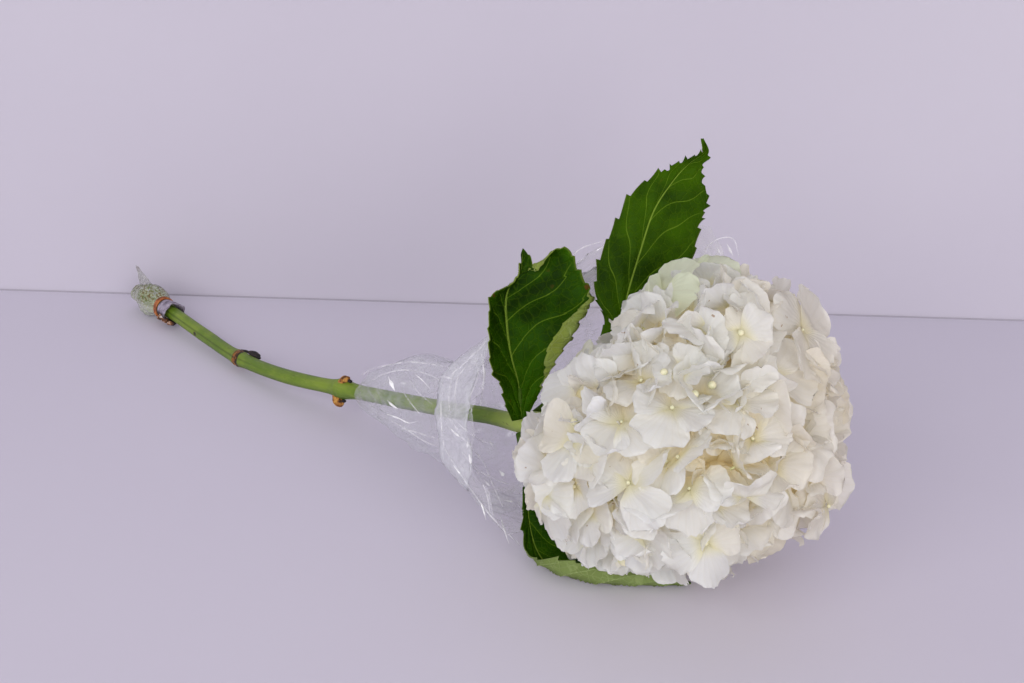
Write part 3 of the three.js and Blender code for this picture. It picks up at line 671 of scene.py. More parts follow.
# picture place and distance of the midrib, then for the left and the right margin the picture place and by
# how much it is nearer in mm, and the width in mm of what is folded over on the right
LEFT_PLACES = [
    ((522, 419, 875), (512, 421, 2), (526, 421, 0), 0),
    ((520, 402, 872), (504, 402, 6), (538, 396, 1), 0),
    ((518, 382, 867), (502, 388, 8), (550, 374, 3), 3),
    ((512, 361, 863), (494, 374, 12), (562, 357, 5), 8),
    ((508, 341, 861), (490, 354, 14), (574, 337, 6), 10),
    ((506, 323, 861), (489, 333, 15), (586, 318, 6), 8),
    ((505, 309, 862), (488.5, 314, 14), (594.5, 301, 3), 3),
    ((505.5, 299, 864), (489, 297, 12), (590, 283, 2), 0),
    ((507, 292, 866), (498, 290, 8), (580, 269, 4), 0),
    ((510, 286, 868), (507, 286, 4), (573, 250, 7), 0),
    ((514.5, 281.5, 869), (513.5, 282, 2), (559, 246, 9), 0),
    ((518.5, 276.5, 870), (517.5, 276.5, 1), (547, 256, 11), 0),
    ((521, 269.5, 871), (519, 269, 1), (537.5, 271, 6), 0),
    ((522, 262.5, 871), (520, 262, 0), (533, 262, 3), 0),
    ((522.5, 255.5, 870), (520.6, 255, 0), (528.5, 255, 1), 0),
    ((523, 248.5, 869), (522.6, 248.5, 0), (523.4, 248.5, 0), 0),
]


def picture_points(places):
    return np.array([EYE + depth * sight(x, y) for x, y, depth in places])


def blade_between(rows, half_steps):
    """The left leaf, drawn between its midrib and its margins."""
    share = np.linspace(0, 1, rows)
    spine = smooth_rows(picture_points([place[0] for place in LEFT_PLACES]), share)
    along = unit(np.gradient(spine, axis=0))
    ends = smoothstep(0.02, 0.1, share) * smoothstep(0.98, 0.9, share)
    halves = []
    for sign, index in ((-1, 1), (1, 2)):
        margin = [(x, y, place[0][2] - nearer) for place in LEFT_PLACES for x, y, nearer in [place[index]]]
        margin = smooth_rows(picture_points(margin), share)
        flap = smooth_rows([[place[3] * (index == 2)] for place in LEFT_PLACES], share)[:, 0]
        flap = np.maximum(flap, 0)
        run = np.cumsum(np.linalg.norm(np.diff(margin, axis=0, prepend=margin[:1]), axis=1))
        spot = run / 8.5 + 0.3 * sign
        tooth = ends * (0.7 + 0.5 * np.sin(2.4 * np.floor(spot))) * (np.mod(spot, 1) ** 1.6 - 0.4) * 2.6
        out = margin - spine
        width = np.linalg.norm(out, axis=1)
        out = out / np.maximum(width, 0.1)[:, None]
        upper = unit(np.cross(np.cross(along, LEFT_FACING), along))
        upper = unit(upper - np.sum(upper * out, 1)[:, None] * out)
        whole = width + flap + tooth
        fold_at = width / np.maximum(width + flap, 0.1)
        points = [spine]
        for middle in (np.arange(half_steps) + 0.5) / half_steps:
            bowed = 0.34 * np.cos(np.pi * np.minimum(middle / fold_at, 1)) * ends
            folded = np.radians(LEFT_FOLD) * smoothstep(0, 1, (middle - fold_at) / 0.05 + 0.5) * (flap > 0.5)
            heading = np.cos(folded - bowed)[:, None] * out + np.sin(folded - bowed)[:, None] * upper
            points.append(points[-1] + heading * (whole / half_steps)[:, None])
        halves.append(points)
    return both_halves(halves, share)


# %% Veins
VEIN_PAIRS = 7


def vein_places(share, across, rise):
    """How near a point is to a side vein, from 0 midway between two of them to 1 on one, and the place of
    the vein along the midrib."""
    half = np.abs(across)
    bowed = share - rise * half * (1 - 0.25 * half) + 0.012 * np.sin(9 * half + 5 * share)
    number = (bowed + 0.06) * (VEIN_PAIRS + 1) + 0.22 * np.sign(across)
    return 1 - 2 * np.abs(np.mod(number, 1) - 0.5), bowed


def shaped_blade(grid, share, across, near, bowed, seed):
    """The blade with its sunken veins and quilted skin: its upper and under skins."""
    own = np.random.default_rng(seed)
    half = np.abs(across)
    vein = np.exp(-(((1 - near) / 0.07) ** 2)) * smoothstep(1.0, 0.8, half) * smoothstep(-0.06, 0.0, bowed)
    midrib = np.exp(-((half / 0.028) ** 2))
    quilt = (1 - near) * smoothstep(0.02, 0.2, half) * smoothstep(1.02, 0.75, half)
    phase = own.uniform(0, 6.28, 4)
    waves = 0.5 * np.sin(7 * share + 3 * across + phase[0])
    waves = (waves + 0.35 * np.sin(13 * share - 5 * across + phase[1])) * half**1.3
    ends = smoothstep(0, 0.06, share) * smoothstep(1.0, 0.9, share)
    height = ends * (0.75 * quilt + 1.1 * waves * 0.8 - 0.35 * vein)
    normals = face_normals(grid[None])[0]
    middle = grid + normals * height[..., None]
    thick = BLADE + ends * (0.55 * vein + 0.9 * midrib)
    top = middle + normals * (BLADE / 2 - ends * 0.3 * midrib)[..., None]
    under = middle - normals * (thick - BLADE / 2)[..., None]
    top[..., 2] = np.maximum(top[..., 2], 0.5)
    under[..., 2] = np.maximum(under[..., 2], 0.25)
    return top, under


def skinned(top, under):
    """A closed thin solid from its two skins, faces wound outwards."""
    rows, columns, _ = top.shape
    _, faces = slabs(top[None], np.zeros((1, rows, columns)))
    return np.concatenate([top.reshape(-1, 3), under.reshape(-1, 3)]), faces


# %% Leaf green, above and below
def leaf_finish(name, dark, light, under, spots):
    leaf = Finish(name)
    share, across = leaf.uv()
    over, near = leaf.mark("over"), leaf.mark("near")
    side = across.ramp(-0.001, 0.001) * 0.44 - 0.22
    off_vein = abs(((share + 0.06) * (VEIN_PAIRS + 1) + side).saw() - 0.5)
    vein = off_vein.ramp(0.03, 0.008) * abs(across).ramp(1.0, 0.8)
    midrib = abs(across).ramp(0.026, 0.009)
    here = leaf.here()
    broad = leaf.noise(here, 45, 4)
    fine = leaf.noise(here, 420, 3)
    cells = leaf.node("TexVoronoi", {"feature": "DISTANCE_TO_EDGE"}, {"Vector": here, "Scale": 620.0})
    net = cells.ramp(0.16, 0.03)
    wide_cells = leaf.node("TexVoronoi", {"feature": "DISTANCE_TO_EDGE"}, {"Vector": here, "Scale": 230.0})
    wide_net = wide_cells.ramp(0.09, 0.01)
    green = leaf.mix(broad.ramp(0.3, 0.72), dark, light)
    green = leaf.mix(near.ramp(0.1, 0.9) * 0.25, green, light)
    green = leaf.mix(wide_net * 0.16 + net * 0.04, green, colour(80, 110, 8))
    green = leaf.mix(vein * 0.55, green, colour(112, 142, 38))
    green = leaf.mix(midrib * 0.75, green, colour(132, 158, 58))
    edge = abs(across).ramp(0.965, 0.995)
    green = leaf.mix(edge * 0.55, green, colour(112, 128, 52))
    brown = leaf.noise(here, 95, 3).ramp(spots, spots + 0.03) * abs(across).ramp(0.45, 0.85)
    green = leaf.mix(brown * 0.85, green, colour(92, 62, 26))
    pale = leaf.mix(broad.ramp(0.3, 0.7), under, leaf.mix(0.5, under, colour(132, 150, 92)))
    pale = leaf.mix(vein * 0.6 + wide_net * 0.22, pale, colour(162, 176, 120))
    pale = leaf.mix(midrib * 0.85, pale, colour(186, 196, 146))
    skin = leaf.mix(over.ramp(0.3, 0.7), pale, green)
    relief = fine * 0.25 - net * 0.35 - wide_net * 0.8
    bump = leaf.bump(relief, 0.0003, 0.8)
    gloss = 0.6 - 0.12 * over + 0.12 * (fine - 0.5)
    sockets = {"Base Color": skin, "Roughness": gloss, "Normal": bump, "Specular IOR Level": 0.05}
    return leaf.let_through(0.1, sockets, colour(120, 160, 30))


# each leaf's dark and light green, its pale underside, and the share of noise above which it has brown spots
LEAF_TONES = {
    "leaf_tall": ((26, 51, 0), (54, 87, 0), (126, 145, 70), 0.72),
    "leaf_left": ((16, 39, 0), (46, 86, 0), (133, 148, 64), 0.66),
    "leaf_lower": ((22, 52, 0), (46, 84, 0), (112, 128, 72), 0.7),
}
LEAF_GREENS = {
    name: leaf_finish(name.replace("leaf_", "leaf_green_"), *(colour(*tone) for tone in tones), spots)
    for name, (*tones, spots) in LEAF_TONES.items()
}


# %% Make the leaves
# which half, share along the midrib and depth in mm of the small tear
TORN = (-1, 0.63, 6.0)
# how much of its line the stalk takes up, the rest being the midrib's, and how thin it ends
STALK_SHARE, STALK_END_RADIUS = 0.56, 1.3


def petiole_shape(leaf, steps, sides):
    """The stalk as far as the blade's base, where it sinks under the midrib."""
    line = smooth_rows(leaf["petiole"], np.linspace(0, STALK_SHARE, steps))
    line = line - unit(np.array(leaf["facing"])) * np.linspace(0, 1.2, steps)[:, None]
    radius = np.linspace(leaf["petiole_radius"], STALK_END_RADIUS, steps)
    turn = 2 * np.pi * np.arange(sides) / sides
    channel = 1 - 0.16 * np.exp(-((np.mod(turn + np.pi, 2 * np.pi) - np.pi) / 0.5) ** 2)
    return tubes(line[None], radius[None], sides, leaf["facing"], np.broadcast_to(channel, (1, steps, sides)))


def make_leaf(name, leaf, grid, share, across, rise, seed):
    near, bowed = vein_places(share, across, rise)
    skin, skin_faces = skinned(*shaped_blade(grid, share, across, near, bowed, seed))
    stalk = petiole_shape(leaf, 40, 20)
    on_stalk = len(stalk[0])
    points, faces = join([(skin, [skin_faces]), stalk])
    uv = np.stack([bowed, across], -1).reshape(-1, 2)
    uv = np.concatenate([uv, uv, np.tile([0, 0.5], (on_stalk, 1))])
    marks = {
        "over": np.concatenate([np.ones(share.size), np.zeros(share.size), np.full(on_stalk, 0.6)]),
        "near": np.concatenate([near.ravel(), near.ravel(), np.full(on_stalk, 0.5)]),
    }
    new_piece(name + "_blade", points, faces, uv, marks, "leaf", [name], [LEAF_GREENS[name]])
    return grid


ROWS, HALF_STEPS = ((190, 21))
LEFT_STALK = {"petiole": LEFT_PETIOLE, "petiole_radius": 2.6, "facing": LEFT_FACING}
leaf_grids = [
    make_leaf("leaf_tall", LEAVES["leaf_tall"], *blade(LEAVES["leaf_tall"], ROWS, HALF_STEPS, TORN), 0.24, 3),
    make_leaf("leaf_left", LEFT_STALK, *blade_between(ROWS, HALF_STEPS), 0.28, 4),
    make_leaf("leaf_lower", LEAVES["leaf_lower"], *blade(LEAVES["leaf_lower"], ROWS, HALF_STEPS), 0.3, 5),
]


# %% [markdown]
# ## The head's form
# The head isn't a ball. It bulges where it lies on the table, has a valley across its upper left, and a
# few florets stand apart with hollows between them. The same lobes and hollows shape the CAD solid, so
# the petals grown here fill the space that the solid holds.

# %% How far the head reaches in each direction
BLOOM_CENTRE = np.array([2.0, -1.0, 80.0])
BLOOM_RADII = np.array([79.0, 84.0, 80.0])
LOBES = [
    ((-0.55, -0.72, -0.62), 11, 32),
    ((0.32, 0.79, 0.5), 6, 34),
    ((-0.26, 0.26, 0.93), 6, 26),
    ((-0.71, -0.71, 0.05), 5, 26),
    ((0.7, 0.7, -0.1), 4, 40),
    ((-0.65, -0.24, 0.72), -17, 30),
    ((-0.28, -0.81, 0.52), -6, 15),
    ((0.1, -0.62, 0.78), -6, 15),
    ((0.62, -0.34, 0.71), -7, 15),
    ((0.85, 0.2, 0.3), -6, 16),
]


def raised(radius, directions, toward, height, spread):
    """The radius with a round bump or hollow towards one direction, of a spread in degrees."""
    apart = np.degrees(np.arccos(np.clip(directions @ toward, -1, 1)))
    return radius + height * np.exp(-((apart / spread) ** 2))


def bloom_radius(directions):
    radius = 1 / np.linalg.norm(directions / BLOOM_RADII, axis=-1)
    for toward, height, spread in LOBES:
        radius = raised(radius, directions, unit(np.array(toward)), height, spread)
    return radius


def rim_direction(x, y):
    """The direction in which the head's outline passes a place of the picture."""
    line = unit(sight(x, y))
    nearest = EYE + line * np.dot(BLOOM_CENTRE - EYE, line)
    return unit(nearest - BLOOM_CENTRE)


# picture place on the outline, by how much the petals stay inside the solid there in mm, spread in degrees
OUTLINE_TRIMS = [
    (580, 346, 22, 17), (516, 414, 22, 13), (626, 300, 8, 12), (812, 298, -9, 16),
    (838, 434, 4, 9), (850, 486, -5, 9), (838, 535, -12, 15), (526, 526, 13, 10),
]


def petal_radius(directions):
    """How far the petals reach: they lie a little closer in on the right and underneath."""
    on_right = smoothstep(0.2, 0.85, directions @ RIGHT)
    under = smoothstep(0.25, 0.9, -(directions @ ABOVE))
    radius = bloom_radius(directions) - 6.5 * on_right - 7 * under
    for x, y, inside, spread in OUTLINE_TRIMS:
        radius = raised(radius, directions, rim_direction(x, y), -inside, spread)
    return radius


# %% [markdown]
# ## Florets that crowd each other
# A mophead has well over a hundred florets of four broad petals. Placed by a rule alone they would cut
# through each other or look stamped. In life they open from small buds and push until they fit, so that is
# done here: every petal starts small as a grid of points that remembers its own shape, grows step by step,
# and moves away from any other petal that it meets. The leaves, the film and the table push back too.

# %% Where each floret sits and looks
FLORETS = 226
chance = np.random.default_rng(11)


def spread_directions(number):
    """Directions spread evenly over a ball, shaken a little."""
    index = np.arange(number)
    height = 1 - 2 * (index + 0.5) / number
    reach = np.sqrt(1 - height**2)
    turn = index * np.pi * (3 - np.sqrt(5))
    even = np.stack([height, reach * np.cos(turn), reach * np.sin(turn)], 1)
    return unit(even + 0.07 * chance.normal(size=even.shape))


toward = spread_directions(FLORETS)
toward = toward[(toward[:, 0] > -0.86) & (toward[:, 2] > -0.95)]
depth = 8 + 10 * chance.random(len(toward))
spin = chance.uniform(0, np.pi / 2, len(toward))
size = chance.uniform(0.86, 1.12, len(toward))


# %% Two lobes as the eye sees them
def in_picture(points):
    """Places of the 1024 by 683 picture for points, in pixels."""
    away = points - EYE
    depth = away @ AHEAD
    return 512 + FOCAL * (away @ RIGHT) / depth, 341.5 - FOCAL * (away @ ABOVE) / depth


def valley(x):
    """How low in the picture the valley between the two lobes runs."""
    return np.interp(x, [500, 560, 650, 720, 790, 860], [395, 372, 372, 368, 385, 440])


def lobe_lean(points):
    """How a floret there leans right and up: each lobe is a dome of its own."""
    x, y = in_picture(points)
    lower = np.stack([(x - 745) / 115, (522 - y) / 62], -1)
    upper = np.stack([(x - 742) / 72, (338 - y) / 62], -1)
    share = smoothstep(-14, 14, y - valley(x))[:, None]
    return share * lower + (1 - share) * upper


ahead_share = smoothstep(0.15, -0.45, toward @ AHEAD)[:, None]
seats = BLOOM_CENTRE + toward * (petal_radius(toward) - depth)[:, None]
lean = np.clip(lobe_lean(seats), -2.1, 2.1)
domed = unit(-AHEAD + lean[:, :1] * RIGHT + lean[:, 1:] * ABOVE)
plain_looks = (1 - 0.75 * ahead_share) * toward + 0.75 * ahead_share * domed
looks = unit(plain_looks + 0.46 * chance.normal(size=toward.shape))
seats[:, 2] = np.maximum(seats[:, 2], 3.5)
print("leaning florets", int((ahead_share > 0.5).sum()))


# %% Florets that stand out in front
def on_bloom(x, y, sink):
    """Where the line of sight first comes within sink of the head's outline."""
    near = EYE + np.arange(560, 1050, 0.5)[:, None] * sight(x, y)
    away = near - BLOOM_CENTRE
    short = np.linalg.norm(away, axis=1) - petal_radius(unit(away))
    inside = short < -sink
    return near[np.argmax(inside)] if inside.any() else near[np.argmin(short)]


# picture place of the centre, sink in mm, lean to the right and upwards in degrees, spin, size
CHOSEN = [
    (741, 333, 1, 0, 12, 42, 0.8),
    (706, 543, 1, -12, 4, 40, 1.0),
    (664, 294, 6, -52, 20, 20, 1.15),
    (694, 276, 8, -30, 40, 60, 1.05),
    (642, 382, 10, -30, 52, 10, 0.9),
    (572, 372, 7, -50, 52, 70, 0.95),
    (684, 372, 8, -10, 36, 0, 0.8),
    (622, 424, 6, -26, 66, 20, 1.1),
    (672, 410, 6, 10, 68, 50, 1.05),
    (734, 402, 8, 32, 62, 10, 1.0),
    (574, 440, 6, -46, 40, 15, 1.0),
    (546, 494, 4, -56, 22, 40, 1.1),
    (630, 484, 5, -48, 44, 65, 1.12),
    (690, 490, 7, -30, 48, 45, 1.08),
    (742, 494, 6, 30, 50, 5, 1.1),
    (570, 542, 5, -52, -12, 30, 1.15),
    (800, 330, 5, 62, 8, 30, 1.2),
    (770, 376, 8, 46, 20, 70, 1.2),
    (826, 506, 6, 62, 6, 50, 1.1),
]


def chosen_florets():
    """Their places, the directions they face, their spins and their sizes."""
    rows = []
    for x, y, sink, right, up, turn, scale in CHOSEN:
        tilt = np.tan(np.radians([right, up]))
        facing = unit(-sight(x, y) + tilt[0] * RIGHT + tilt[1] * ABOVE)
        rows.append((on_bloom(x, y, sink), facing, np.radians(turn), scale))
    return [np.array(column) for column in zip(*rows)]


front_seats, front_looks, front_spin, front_size = chosen_florets()
apart = np.linalg.norm(seats[:, None] - front_seats[None], axis=2).min(1)
keep = apart > 12


# %% A second layer, deeper in, that closes the gaps
INNER_FLORETS = 104
inner = spread_directions(INNER_FLORETS)
inner = inner[(inner[:, 0] > -0.8) & (inner[:, 2] > -0.8)]
inner_seats = BLOOM_CENTRE + inner * (petal_radius(inner) - chance.uniform(19, 25, len(inner)))[:, None]
inner_looks = unit(inner + 0.5 * chance.normal(size=inner.shape))
seats = np.concatenate([front_seats, seats[keep], inner_seats])
looks = np.concatenate([front_looks, looks[keep], inner_looks])
spin = np.concatenate([front_spin, spin[keep], chance.uniform(0, np.pi / 2, len(inner))])
size = np.concatenate([front_size, size[keep], chance.uniform(0.8, 0.95, len(inner))])
firm = np.where(np.arange(len(seats)) < len(front_seats), 0.4, 0.08)
SHOWN = 2
FLATNESS = 0.35
print(len(seats), "florets,", len(front_seats), "of them chosen,", len(inner), "deeper in")


# %% The shape that each petal wants to have
PETAL_ROWS, PETAL_COLUMNS = 8, 7
PETAL_REACH = np.array([0.0, 0.13, 0.27, 0.42, 0.57, 0.72, 0.87, 1.0])
PETAL_WIDTHS = np.array([0.15, 0.48, 0.75, 0.91, 0.98, 1.0, 0.9, 0.6])


def petal_wishes(number, sizes, spins, firmness):
    """Grids in each floret's own axes, looking along z: shaped (number, 4, rows, columns, 3)."""
    shape = (number, 4, 1, 1)
    length = chance.uniform(17, 23, shape) * sizes[:, None, None, None]
    half = chance.uniform(10, 14, shape) * sizes[:, None, None, None]
    u = PETAL_REACH[None, None, :, None]
    v = np.linspace(-1, 1, PETAL_COLUMNS)[None, None, None]
    along = length * (u - 0.16 * u**3 * v**2)
    shoulder = 1 + chance.uniform(-0.32, 0.28, shape) * (u - 0.5) + chance.uniform(-0.12, 0.12, shape) * v
    across = half * PETAL_WIDTHS[None, None, :, None] * v * shoulder
    closed = chance.uniform(4, 54, (number, 1, 1, 1)) * firmness[:, None, None, None]
    lift = np.radians(closed + chance.uniform(-14, 20, shape))
    curl = chance.uniform(-8.5, 4, shape)
    cup = chance.uniform(-4.2, 5.4, shape)
    twist = chance.uniform(-5, 5, shape)
    tall, beat, start = (chance.uniform(*span, shape) for span in ((0.3, 1.3), (2, 4.5), (0, 6)))
    wave = tall * np.sin(beat * (v + u) + start)
    over = np.array([0.5, -0.3, 0.5, -0.3])[None, :, None, None]
    up = over * (1 - 0.5 * u) + along * np.sin(lift) + curl * u**2
    up = up + cup * u * v**2 + twist * u * v + wave * u * np.abs(v)
    angle = spins[:, None, None, None] + np.arange(4)[None, :, None, None] * np.pi / 2
    angle = angle + chance.normal(0, 0.1, shape)
    along = 0.9 + along * np.cos(lift)
    x = along * np.cos(angle) - across * np.sin(angle)
    y = along * np.sin(angle) + across * np.cos(angle)
    return np.stack([x, y, np.broadcast_to(up, x.shape)], -1)


wishes = petal_wishes(len(seats), size, spin, np.where(firm > 0.1, FLATNESS, 1.0))
side = unit(np.cross([0.13, 0.21, 0.97], looks))
axes = np.stack([side, np.cross(looks, side), looks], 1)
print("petal grids", wishes.shape)


# %% Tools of the growth
def best_turns(rest, now):
    """The rotations that lay each set of rest points, about its middle, nearest to its points now."""
    u, _, vt = np.linalg.svd(np.einsum("nki,nkj->nij", rest, now))
    flip = np.sign(np.linalg.det(u @ vt))
    u[:, :, 2] *= flip[:, None]
    return u @ vt


def near_pairs(points, reach, movable):
    """Pairs of points closer than reach, of which the first at least can move."""
    cell = np.floor(points / reach).astype(np.int64) + 200
    key = (cell[:, 0] * 1024 + cell[:, 1]) * 1024 + cell[:, 2]
    order = np.argsort(key, kind="stable")
    sorted_key = key[order]
    firsts, seconds = [], []
    for dx in (-1, 0, 1):
        for dy in (-1, 0, 1):
            shift = (dx * 1024 + dy) * 1024
            low = np.searchsorted(sorted_key, key[:movable] + shift - 1, "left")
            high = np.searchsorted(sorted_key, key[:movable] + shift + 1, "right")
            counts = high - low
            owner = np.repeat(np.arange(movable), counts)
            start = np.repeat(low - np.concatenate([[0], np.cumsum(counts)[:-1]]), counts)
            firsts.append(owner)
            seconds.append(order[np.arange(len(owner)) + start])
    first, second = np.concatenate(firsts), np.concatenate(seconds)
    good = (second >= movable) | (first < second)
    first, second = first[good], second[good]
    close = np.sum((points[first] - points[second]) ** 2, 1) < reach**2
    return first[close], second[close]


def gathered(index, push, size_of):
    return np.stack([np.bincount(index, push[:, k], size_of) for k in range(3)], 1)


# %% Growing
ROOM_BETWEEN = 1.75
BUD_SCALE = 0.34
GROWTH_STEPS = 150


def in_own_form(petals, wishes):
    """The points of each petal now, and where they would be in its own form, laid as near as can be."""
    rest = wishes.reshape(-1, PETAL_ROWS * PETAL_COLUMNS, 3)
    now = petals.reshape(rest.shape)
    rest = rest - rest.mean(1, keepdims=True)
    centre = now.mean(1, keepdims=True)
    return now, centre + np.einsum("nki,nij->nkj", rest, best_turns(rest, now - centre))


def grow(seats, axes, wishes, firm, obstacles, steps):
    """The petals' points, the florets' middles and how each floret is turned, once all have grown."""
    number = len(seats)
    shape = wishes.shape
    wished = np.einsum("fprck,fkj->fprcj", wishes, axes)
    petals = seats[:, None, None, None] + BUD_SCALE * wished
    middles = seats.copy()
    per_petal = PETAL_ROWS * PETAL_COLUMNS
    movable = number * 4 * per_petal
    petal_of = np.arange(movable) // per_petal
    row_of = (np.arange(movable) // PETAL_COLUMNS) % PETAL_ROWS
    inner = slice(0, 3)
    hold = np.array([1.0, 0.7, 0.35])[:, None, None]
    for step in range(steps):
        share = min(1, step / (0.72 * steps))
        scale = BUD_SCALE + (1 - BUD_SCALE) * share
        room = ROOM_BETWEEN * (0.45 + 0.55 * share)
        # each floret keeps its four petals crossed about its own middle
        rest = wishes[:, :, inner].reshape(number, -1, 3) * scale
        now = petals[:, :, inner].reshape(number, -1, 3) - middles[:, None]
        pull = 0.35 * firm[:, None, None] / 0.08 * np.einsum("nki,nij->nkj", rest, axes)
        turns = best_turns(rest, now + pull)
        feet = np.einsum("nki,nij->nkj", wishes[:, :, 0].reshape(number, -1, 3) * scale, turns).mean(1)
        middles = 0.5 * middles + 0.5 * (petals[:, :, 0].reshape(number, -1, 3).mean(1) - feet)
        middles += firm[:, None] * (seats - middles)
        core = np.einsum("fprck,fkj->fprcj", wishes[:, :, inner] * scale, turns)
        core = middles[:, None, None, None] + core
        petals[:, :, inner] += hold * (core - petals[:, :, inner])
        # each petal keeps its own form
        now, held = in_own_form(petals, wishes * scale)
        petals = (now + 0.36 * (held - now)).reshape(shape)
        # and no petal passes another
        points = np.concatenate([petals.reshape(-1, 3), obstacles])
        if step % 3 == 0:
            first, second = near_pairs(points, room + 1.2, movable)
            own, other = second < movable, np.minimum(second, movable - 1)
            same = own & (petal_of[first] == petal_of[other])
            kin = own & (petal_of[first] // 4 == petal_of[other] // 4)
            low = np.minimum(row_of[first], row_of[other]) < 3
            wanted = ~same & ~(kin & low)
            first, second = first[wanted], second[wanted]
        gap = points[first] - points[second]
        length = np.linalg.norm(gap, axis=1)
        lacking = np.maximum(room - length, 0)
        push = gap / np.maximum(length, 1e-6)[:, None] * lacking[:, None] * 0.45
        free = second < movable
        move = gathered(first, push * np.where(free, 1.0, 2.0)[:, None], movable)
        move -= gathered(second[free], push[free], movable)
        touching = lacking > 0
        hits = np.bincount(first, touching, movable) + np.bincount(second[free], touching[free], movable)
        flat = petals.reshape(-1, 3) + move / np.maximum(hits, 1)[:, None] ** 0.5
        # the head keeps its outline, and the table holds it up
        away = flat - BLOOM_CENTRE
        distance = np.linalg.norm(away, axis=1)
        over = np.maximum(distance - petal_radius(away / distance[:, None]) - 4.0, 0)
        flat -= away / distance[:, None] * (0.3 * over)[:, None]
        flat[:, 2] = np.maximum(flat[:, 2], 0.6)
        petals = flat.reshape(shape)
    return petals, middles, turns


# %% Let the head grow
stem_line = stem_at(np.linspace(-110, -50, 30))
around = 2 * np.pi * np.arange(8) / 8
stem_skin = stem_line[:, None] + 5.5 * np.stack([0 * around, np.cos(around), np.sin(around)], -1)
held_back = [grid[::9, ::5].reshape(-1, 3) for grid in leaf_grids] + [stem_skin.reshape(-1, 3)]
petals, middles, turns = grow(seats, axes, wishes, firm, np.concatenate(held_back), GROWTH_STEPS)


def unstretched(petals):
    """Petals that were stretched on their way take back their own form, where they are."""
    now, held = in_own_form(petals, wishes)
    off = np.linalg.norm(held - now, axis=2).mean(1)
    print("mm from their own form:", np.percentile(off, [25, 50, 75, 90, 97, 100]).round(2))
    back = smoothstep(1.4, 3.2, off)[:, None, None]
    return (now + back * (held - now)).reshape(petals.shape)


petals = unstretched(petals)
# the two florets that face the eye keep their open form
petals[:SHOWN] = seats[:SHOWN, None, None, None] + np.einsum("fprck,fkj->fprcj", wishes[:SHOWN], axes[:SHOWN])
middles[:SHOWN], turns[:SHOWN] = seats[:SHOWN], axes[:SHOWN]
print("grown:", petals.shape)


# %% [markdown]
# ## From grown grids to petals
# Each grown grid is read again more finely, then gets what growth was too coarse for: the ruffles of its
# margin, small teeth, a fold along the middle and the fan of veins. A petal is a fifth of a millimetre
# thick, less than half a pixel, so it is one sheet of faces with no second skin. That leaves twice as many
# faces for its form, and light that falls on its back glows through only once.

# %% Petals with their ruffles
OUTER_FINE, INNER_FINE = (((19, 16), (10, 9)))


def fine_petals(petals, rows, columns, seed):
    grids = finer(petals.reshape(-1, PETAL_ROWS, PETAL_COLUMNS, 3), rows, columns)
    number = len(grids)
    u = np.linspace(0, 1, rows)[None, :, None]
    v = np.linspace(-1, 1, columns)[None, None]
    normals = face_normals(grids)
    own = np.random.default_rng(seed)
    shape = (number, 1, 1)
    round_it = np.arctan2(v, (u - 0.45) * 2)

    def rippled(low, high, fewest, most):
        """Ripples round the margin, each petal with a height, a number and a start of its own."""
        height, number_of = own.uniform(low, high, shape), own.integers(fewest, most, shape)
        return height * np.sin(number_of * round_it + own.uniform(0, 6.28, shape))

    rim = smoothstep(0.4, 1.0, np.maximum(np.abs(v), u)) * smoothstep(0.05, 0.4, u)
    ruffle = rippled(0.2, 1.15, 3, 8)
    finer_ruffle = rippled(0, 0.4, 11, 19)
    crease = own.uniform(-0.7, 1.0, shape) * np.exp(-((v / 0.16) ** 2)) * np.sin(np.pi * u) ** 0.7
    veins = 0.09 * np.sin(v * 16 / (0.35 + u) + own.uniform(0, 6.28, shape)) * smoothstep(0.1, 0.5, u)
    height = rim * (ruffle + finer_ruffle) + crease + veins
    grids = grids + normals * height[..., None]
    outward = grids - grids[:, :1].mean(2, keepdims=True)
    teeth = rippled(-0.035, 0.035, 6, 15) + own.normal(0, 0.006, (number, rows, columns))
    grids = grids + outward * (teeth * smoothstep(0.86, 1, np.maximum(np.abs(v), u)))[..., None]
    grids[..., 2] = np.maximum(grids[..., 2], 0.5)
    return grids, np.broadcast_to(u, grids.shape[:3]), np.broadcast_to(v, grids.shape[:3])


outer_count = len(seats) - len(inner)
outer_fine = fine_petals(petals[:outer_count], *OUTER_FINE, 5)
inner_fine = fine_petals(petals[outer_count:], *INNER_FINE, 6)
print("fine petals", outer_fine[0].shape, inner_fine[0].shape)


